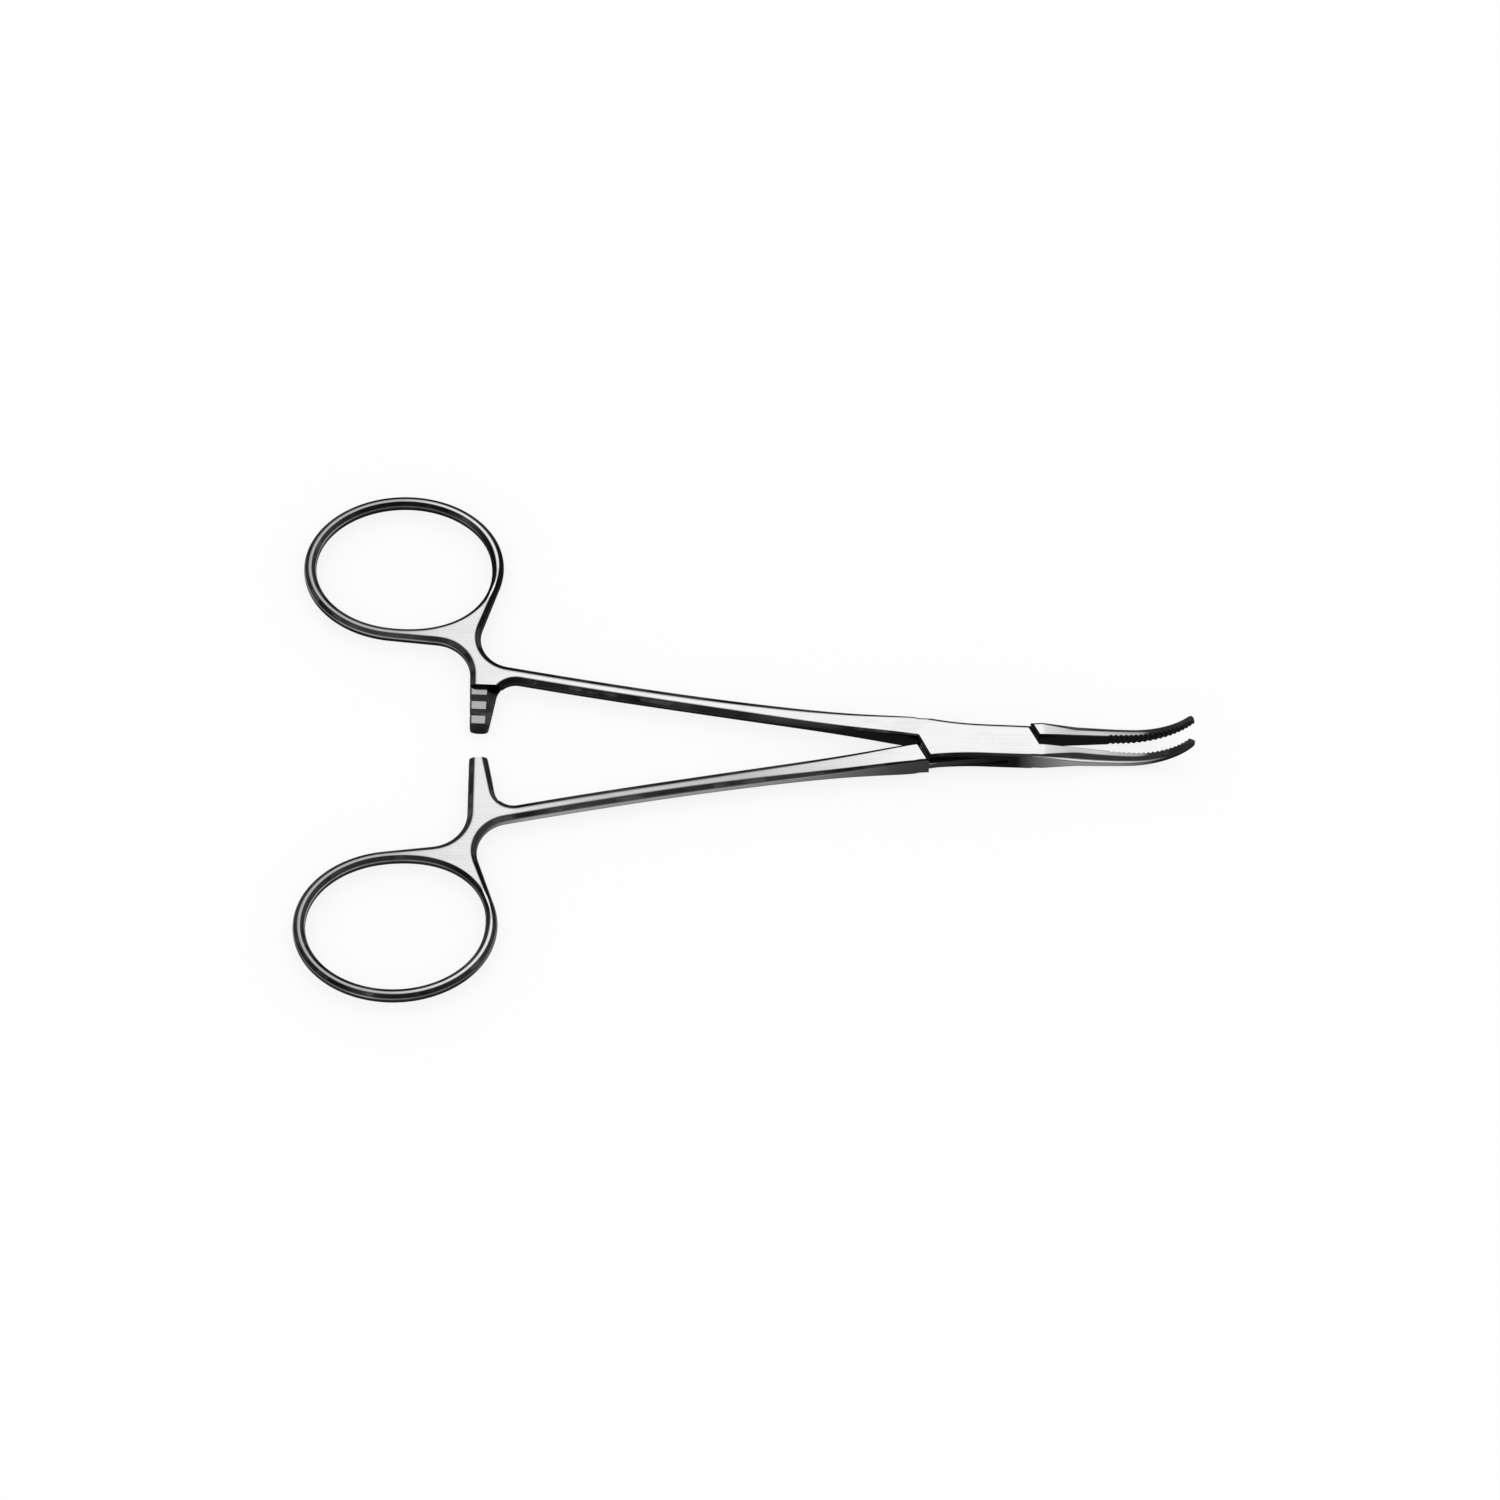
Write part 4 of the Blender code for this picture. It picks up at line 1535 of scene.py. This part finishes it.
@dataclass(frozen=True)
class PolishedSteel:
    """Mirror-polished stainless steel with buffing lines, film, rubbed rims, and painted reflections and
    shade in its tone.
    """

    name: str
    # These tones and from and to values paint reflections and shade into the base colour by how flat a face
    # lies: bright flats, dark rims and sides, a highlight line.
    flat_tones: Stops = ((0.0, 0.9),)
    rim_tone: float = 0.028
    side_tones: Stops = ((0.0, 0.01),)
    line_tones: Stops = ((0.0, 0.1),)
    dark_from: float = 0.968
    bright_from: float = 0.9965
    side_from: float = 0.25
    side_to: float = 0.45
    roughness: float = 0.13
    grazing_tint: float = 0.5
    # Painted shade on low flats: within web_height of mid_plane and short of web_end along X, flats take the
    # web shade tone.
    mid_plane: float = 2.0
    web_height: float = 0.85
    web_height_fade: float = 0.1
    web_end: float = 9.5
    web_end_fade: float = 1.0
    web_tone: float = 1.0
    tone_in_lines: float = 0.955
    tone_under_film: float = 0.95
    tone_of_wear: float = 0.10
    rougher_in_lines: float = 0.07
    rougher_under_film: float = 0.09
    smoother_by_wear: float = -0.05
    line_depth: float = 0.06
    bump_distance: float = 0.02
    warmth: tuple[float, float, float] = (1.0, 0.998, 0.992)

    def build(self) -> bpy.types.Material:
        """Make the material.

        Returns:
            The material, ready to go on a piece.
        """
        material = bpy.data.materials.new(self.name)
        material.use_nodes = True
        sketch = NodeSketch(material.node_tree)
        effects = (Effects.polish_lines, Effects.handling_film, Effects.edge_wear)
        lines, film, wear = (sketch.group(effect).outputs[0] for effect in effects)
        tone = self._side_tones(sketch)
        tone = sketch.maths("MULTIPLY", tone, sketch.ramp(lines, 0.0, 1.0, 1.0, self.tone_in_lines))
        tone = sketch.maths("MULTIPLY", tone, sketch.ramp(film, 0.0, 1.0, 1.0, self.tone_under_film))
        tone = sketch.maths("MULTIPLY_ADD", wear, self.tone_of_wear, tone)
        colour = sketch.add("ShaderNodeCombineColor")
        for socket, share in zip(colour.inputs, self.warmth):
            sketch.feed(socket, sketch.maths("MULTIPLY", tone, share))
        rough = sketch.maths("MULTIPLY_ADD", lines, self.rougher_in_lines, self.roughness)
        rough = sketch.maths("MULTIPLY_ADD", film, self.rougher_under_film, rough)
        rough = sketch.maths("MULTIPLY_ADD", wear, self.smoother_by_wear, rough)
        bump = {"Strength": self.line_depth, "Distance": self.bump_distance * MM, "Height": lines}
        shader = {
            "Metallic": 1.0,
            "Specular Tint": (*[self.grazing_tint] * 3, 1.0),
            "Base Color": colour.outputs[0],
            "Roughness": rough,
            "Normal": sketch.feed_all(sketch.add("ShaderNodeBump"), bump).outputs["Normal"],
        }
        sketch.feed_all(material.node_tree.nodes["Principled BSDF"], shader)
        return material

    def _side_tones(self, sketch: NodeSketch) -> Socket:
        """Painted reflection tones of flats, rims and sides, with painted shade on low flats such as the
        thin web's.

        Args:
            sketch: The sketch to add nodes with.

        Returns:
            The socket with the tone.
        """
        # Painted shade on flats lying low near the mid-plane, up to web_end along X.
        x, _, z = sketch.axes(sketch.coordinates("Object"))
        height = sketch.maths("ABSOLUTE", sketch.maths("SUBTRACT", z, self.mid_plane * MM))
        low, high = self.web_height - self.web_height_fade, self.web_height + self.web_height_fade
        ground = sketch.ramp(height, low * MM, high * MM, self.web_tone, 1.0)
        start, end = self.web_end - self.web_end_fade, self.web_end + self.web_end_fade
        ground = sketch.maths("MAXIMUM", ground, sketch.ramp(x, start * MM, end * MM))
        tones = {
            "Flat Tone": sketch.maths("MULTIPLY", self._along(sketch, self.flat_tones), ground),
            "Rim Tone": self.rim_tone,
            "Side Tone": self._along(sketch, self.side_tones),
            "Line Tone": self._along(sketch, self.line_tones),
            "Dark From": self.dark_from,
            "Bright From": self.bright_from,
            "Side From": self.side_from,
            "Side To": self.side_to,
        }
        return sketch.feed_all(sketch.group(Effects.side_tones), tones).outputs["Tone"]

    @staticmethod
    def _along(sketch: NodeSketch, stops: Stops) -> Socket:
        """Let a tone change along the length.

        Args:
            sketch: The sketch to add nodes with.
            stops: Places along X in millimetres, each with its tone.

        Returns:
            The socket with the tone.
        """
        x = sketch.axes(sketch.coordinates("Object"))[0]
        share = sketch.add("ShaderNodeMapRange")
        sketch.feed_all(share, {"Value": x, "From Min": LENGTH_FROM * MM, "From Max": LENGTH_TO * MM})
        ramp = sketch.add("ShaderNodeValToRGB")
        sketch.feed(ramp.inputs[0], share.outputs["Result"])
        points = ramp.color_ramp.elements
        while len(points) < len(stops):
            points.new(0.5)
        while len(points) > len(stops):
            points.remove(points[-1])
        for point, (x_stop, tone) in zip(points, stops):
            point.position = (x_stop - LENGTH_FROM) / (LENGTH_TO - LENGTH_FROM)
            point.color = (tone, tone, tone, 1.0)
        return ramp.outputs["Color"]


@dataclass(frozen=True)
class TableTop:
    """White table that keeps a soft shadow."""

    name: str = "white_table"
    colour: Colour = (0.97, 0.97, 0.97, 1.0)
    roughness: float = 0.9
    glow_share: float = 0.8

    def build(self) -> bpy.types.Material:
        """Make the material, plain white to the camera and in mirrors, and lit like paper otherwise.

        Returns:
            The material for the floor.
        """
        material = bpy.data.materials.new(self.name)
        material.use_nodes = True
        sketch = NodeSketch(material.node_tree)
        nodes = material.node_tree.nodes
        paper = nodes["Principled BSDF"]
        sketch.feed_all(paper, {"Base Color": self.colour, "Roughness": self.roughness})
        path = sketch.add("ShaderNodeLightPath").outputs
        seen = sketch.maths("MAXIMUM", path["Is Camera Ray"], path["Is Glossy Ray"])
        seen = sketch.maths("MAXIMUM", seen, path["Is Transmission Ray"])
        share = sketch.maths("MULTIPLY", seen, self.glow_share)
        blend = sketch.add("ShaderNodeMixShader")
        glow = sketch.add("ShaderNodeEmission").outputs[0]
        for socket, source in zip(blend.inputs, (share, paper.outputs[0], glow)):
            sketch.feed(socket, source)
        sketch.feed(nodes["Material Output"].inputs["Surface"], blend.outputs[0])
        return material


@dataclass
class Studio:
    """White table, soft light and the camera that took the picture."""

    floor_radius: float = 2200.0
    floor_sides: int = 96
    lens: float = 192.1
    sensor_width: float = 36.0
    clip: tuple[float, float] = (10.0, 20000.0)
    distance: float = 1245.0
    elevation_deg: float = 60.0
    aim: tuple[float, float, float] = (-36.57, -0.82, 2.0)
    world_colour: Colour = (0.99, 0.995, 1.0, 1.0)
    ceiling_lean_deg: float = 27.0
    ceiling_reach: tuple[float, float] = (0.34, 0.20)
    ceiling_fade: float = 1.6
    ceiling_strength: float = 0.80
    wall_strength: float = 0.6
    horizon_strength: float = 0.5
    horizon_band: tuple[float, float] = (0.12, 0.45)
    key_energy: float = 0.12
    key_size: float = 500.0
    key_place: tuple[float, float, float] = (-36.0, 480.0, 940.0)

    def build(self) -> None:
        """Set the floor, the lights and the camera."""
        self._floor()
        self._world()
        self._key_light()
        self._camera()
        bpy.context.scene.view_settings.view_transform = "Standard"

    def _floor(self) -> None:
        """Lay the table top under the instrument."""
        clear_selection()
        bpy.ops.mesh.primitive_circle_add(
            vertices=self.floor_sides, radius=self.floor_radius * MM, fill_type="NGON", location=(0, 0, 0)
        )
        floor = bpy.context.object
        floor.name = "table_top"
        floor.data.materials.append(TableTop().build())

    def _world(self) -> None:
        """Fill the room with even light, which polished steel mirrors as a lit ceiling over darker walls."""
        world = bpy.data.worlds.new("soft_room")
        world.use_nodes = True
        sketch = NodeSketch(world.node_tree)
        background = world.node_tree.nodes["Background"]
        background.inputs["Color"].default_value = self.world_colour
        x, y, z = sketch.axes(sketch.coordinates("Generated"))
        across = sketch.maths("DIVIDE", x, self.ceiling_reach[0])
        behind = sketch.maths("SUBTRACT", y, math.sin(math.radians(self.ceiling_lean_deg)))
        behind = sketch.maths("DIVIDE", behind, self.ceiling_reach[1])
        far = sketch.maths("MULTIPLY_ADD", across, across, sketch.maths("MULTIPLY", behind, behind))
        ceiling = sketch.ramp(sketch.maths("SQRT", far), 1.0, self.ceiling_fade, 1.0, 0.0)
        wall = sketch.ramp(z, *self.horizon_band, self.horizon_strength, self.wall_strength)
        room = sketch.blend(ceiling, wall, self.ceiling_strength)
        mirrored = sketch.add("ShaderNodeLightPath").outputs["Is Glossy Ray"]
        sketch.feed(background.inputs["Strength"], sketch.blend(mirrored, 1.0, room))
        bpy.context.scene.world = world

    def _key_light(self) -> None:
        """Hang one large soft light above the far side."""
        clear_selection()
        place = Vector(self.key_place) * MM
        bpy.ops.object.light_add(type="AREA", location=place)
        lamp = bpy.context.object
        lamp.name = "key_light"
        lamp.data.shape = "DISK"
        lamp.data.size = self.key_size * MM
        lamp.data.energy = self.key_energy
        lamp.rotation_euler = (-place).to_track_quat("-Z", "Y").to_euler()

    def _camera(self) -> None:
        """Stand the camera where the picture was taken from."""
        clear_selection()
        elevation = math.radians(self.elevation_deg)
        back = Vector((0.0, -math.cos(elevation), math.sin(elevation)))
        place = (Vector(self.aim) + back * self.distance) * MM
        bpy.ops.object.camera_add(location=place, rotation=(math.pi / 2 - elevation, 0.0, 0.0))
        camera = bpy.context.object
        camera.name = "camera"
        camera.data.lens = self.lens
        camera.data.sensor_width = self.sensor_width
        camera.data.clip_start, camera.data.clip_end = (end * MM for end in self.clip)
        bpy.context.scene.camera = camera


# Tones along X in millimetres for flats, upright sides and highlight lines: painted reflections and shade,
# with flats darker on the rings and towards the jaw tips.
RING_FLATS = ((-110.0, 0.44), (-92.0, 0.52), (-85.0, 0.80))
BOX_FLATS = ((9.0, 0.93), (17.0, 0.86), (23.0, 0.45), (29.0, 0.08))
FLATS = (*RING_FLATS, (-70.0, 0.92), *BOX_FLATS)
MALE_SHANK_FLATS = ((-74.0, 0.86), (-60.0, 0.64), (-42.0, 0.56), (-24.0, 0.74), (-13.0, 0.92))
MALE_FLATS = (*RING_FLATS, *MALE_SHANK_FLATS, *BOX_FLATS)
FEMALE_SIDES = ((-110.0, 0.01), (5.0, 0.01), (13.0, 0.30), (20.0, 0.28), (27.0, 0.01))
MALE_SIDES = ((-110.0, 0.02), (-80.0, 0.02), (-72.0, 0.34), (-34.0, 0.28), (-14.0, 0.06), (2.0, 0.01))
RING_LINES = ((-110.0, 0.42), (-84.0, 0.34), (-78.0, 0.04))
FEMALE_LINES = (*RING_LINES, (4.0, 0.03), (12.0, 0.95), (22.0, 0.85), (28.0, 0.02))
MALE_LINES = (*RING_LINES, (-70.0, 0.34), (-30.0, 0.28), (-12.0, 0.05), (8.0, 0.02))

FINISHES = {
    Half.FEMALE: PolishedSteel(
        "polished_steel_female",
        flat_tones=FLATS,
        side_tones=FEMALE_SIDES,
        line_tones=FEMALE_LINES,
        side_from=0.12,
        side_to=0.32,
        web_tone=0.52,
    ),
    Half.MALE: PolishedSteel(
        "polished_steel_male",
        flat_tones=MALE_FLATS,
        side_tones=MALE_SIDES,
        line_tones=MALE_LINES,
        side_from=0.50,
        side_to=0.72,
        web_tone=0.42,
    ),
}
RIVET_FINISH = PolishedSteel("rivet_steel_flush", flat_tones=FLATS)


def place_piece(piece: Piece, node: str, body: str, finish: PolishedSteel) -> None:
    """Dress a finished piece and let it stand for its CAD node.

    Args:
        piece: The finished piece.
        node: The CAD node that it stands for.
        body: The CAD body that it rides on.
        finish: The finish that it gets.
    """
    piece.data.materials.clear()
    piece.data.materials.append(finish.build())
    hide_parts(node)
    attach(piece, body)
    low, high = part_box(node)
    log.info("%s: %d faces, stands for %s", piece.name, len(piece.data.polygons), node)
    log.info("CAD box of %s: %s to %s mm", node, tuple(low / MM), tuple(high / MM))


def main() -> None:
    """Build the instrument piece by piece, then the studio round it."""
    logging.basicConfig(level=logging.INFO, format="%(name)s: %(message)s")
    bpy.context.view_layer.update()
    sizes = ForcepsSizes()
    for half in Half:
        piece = Forging(sizes).build(half)
        place_piece(piece, half.node, half.body, FINISHES[half])
    pin = PivotPin(sizes).build("pivot_rivet")
    place_piece(pin, "pivot_pin", "female", RIVET_FINISH)
    Studio().build()
    log.info("studio: table, room light, one soft lamp, camera")


if __name__ == "__main__":
    main()
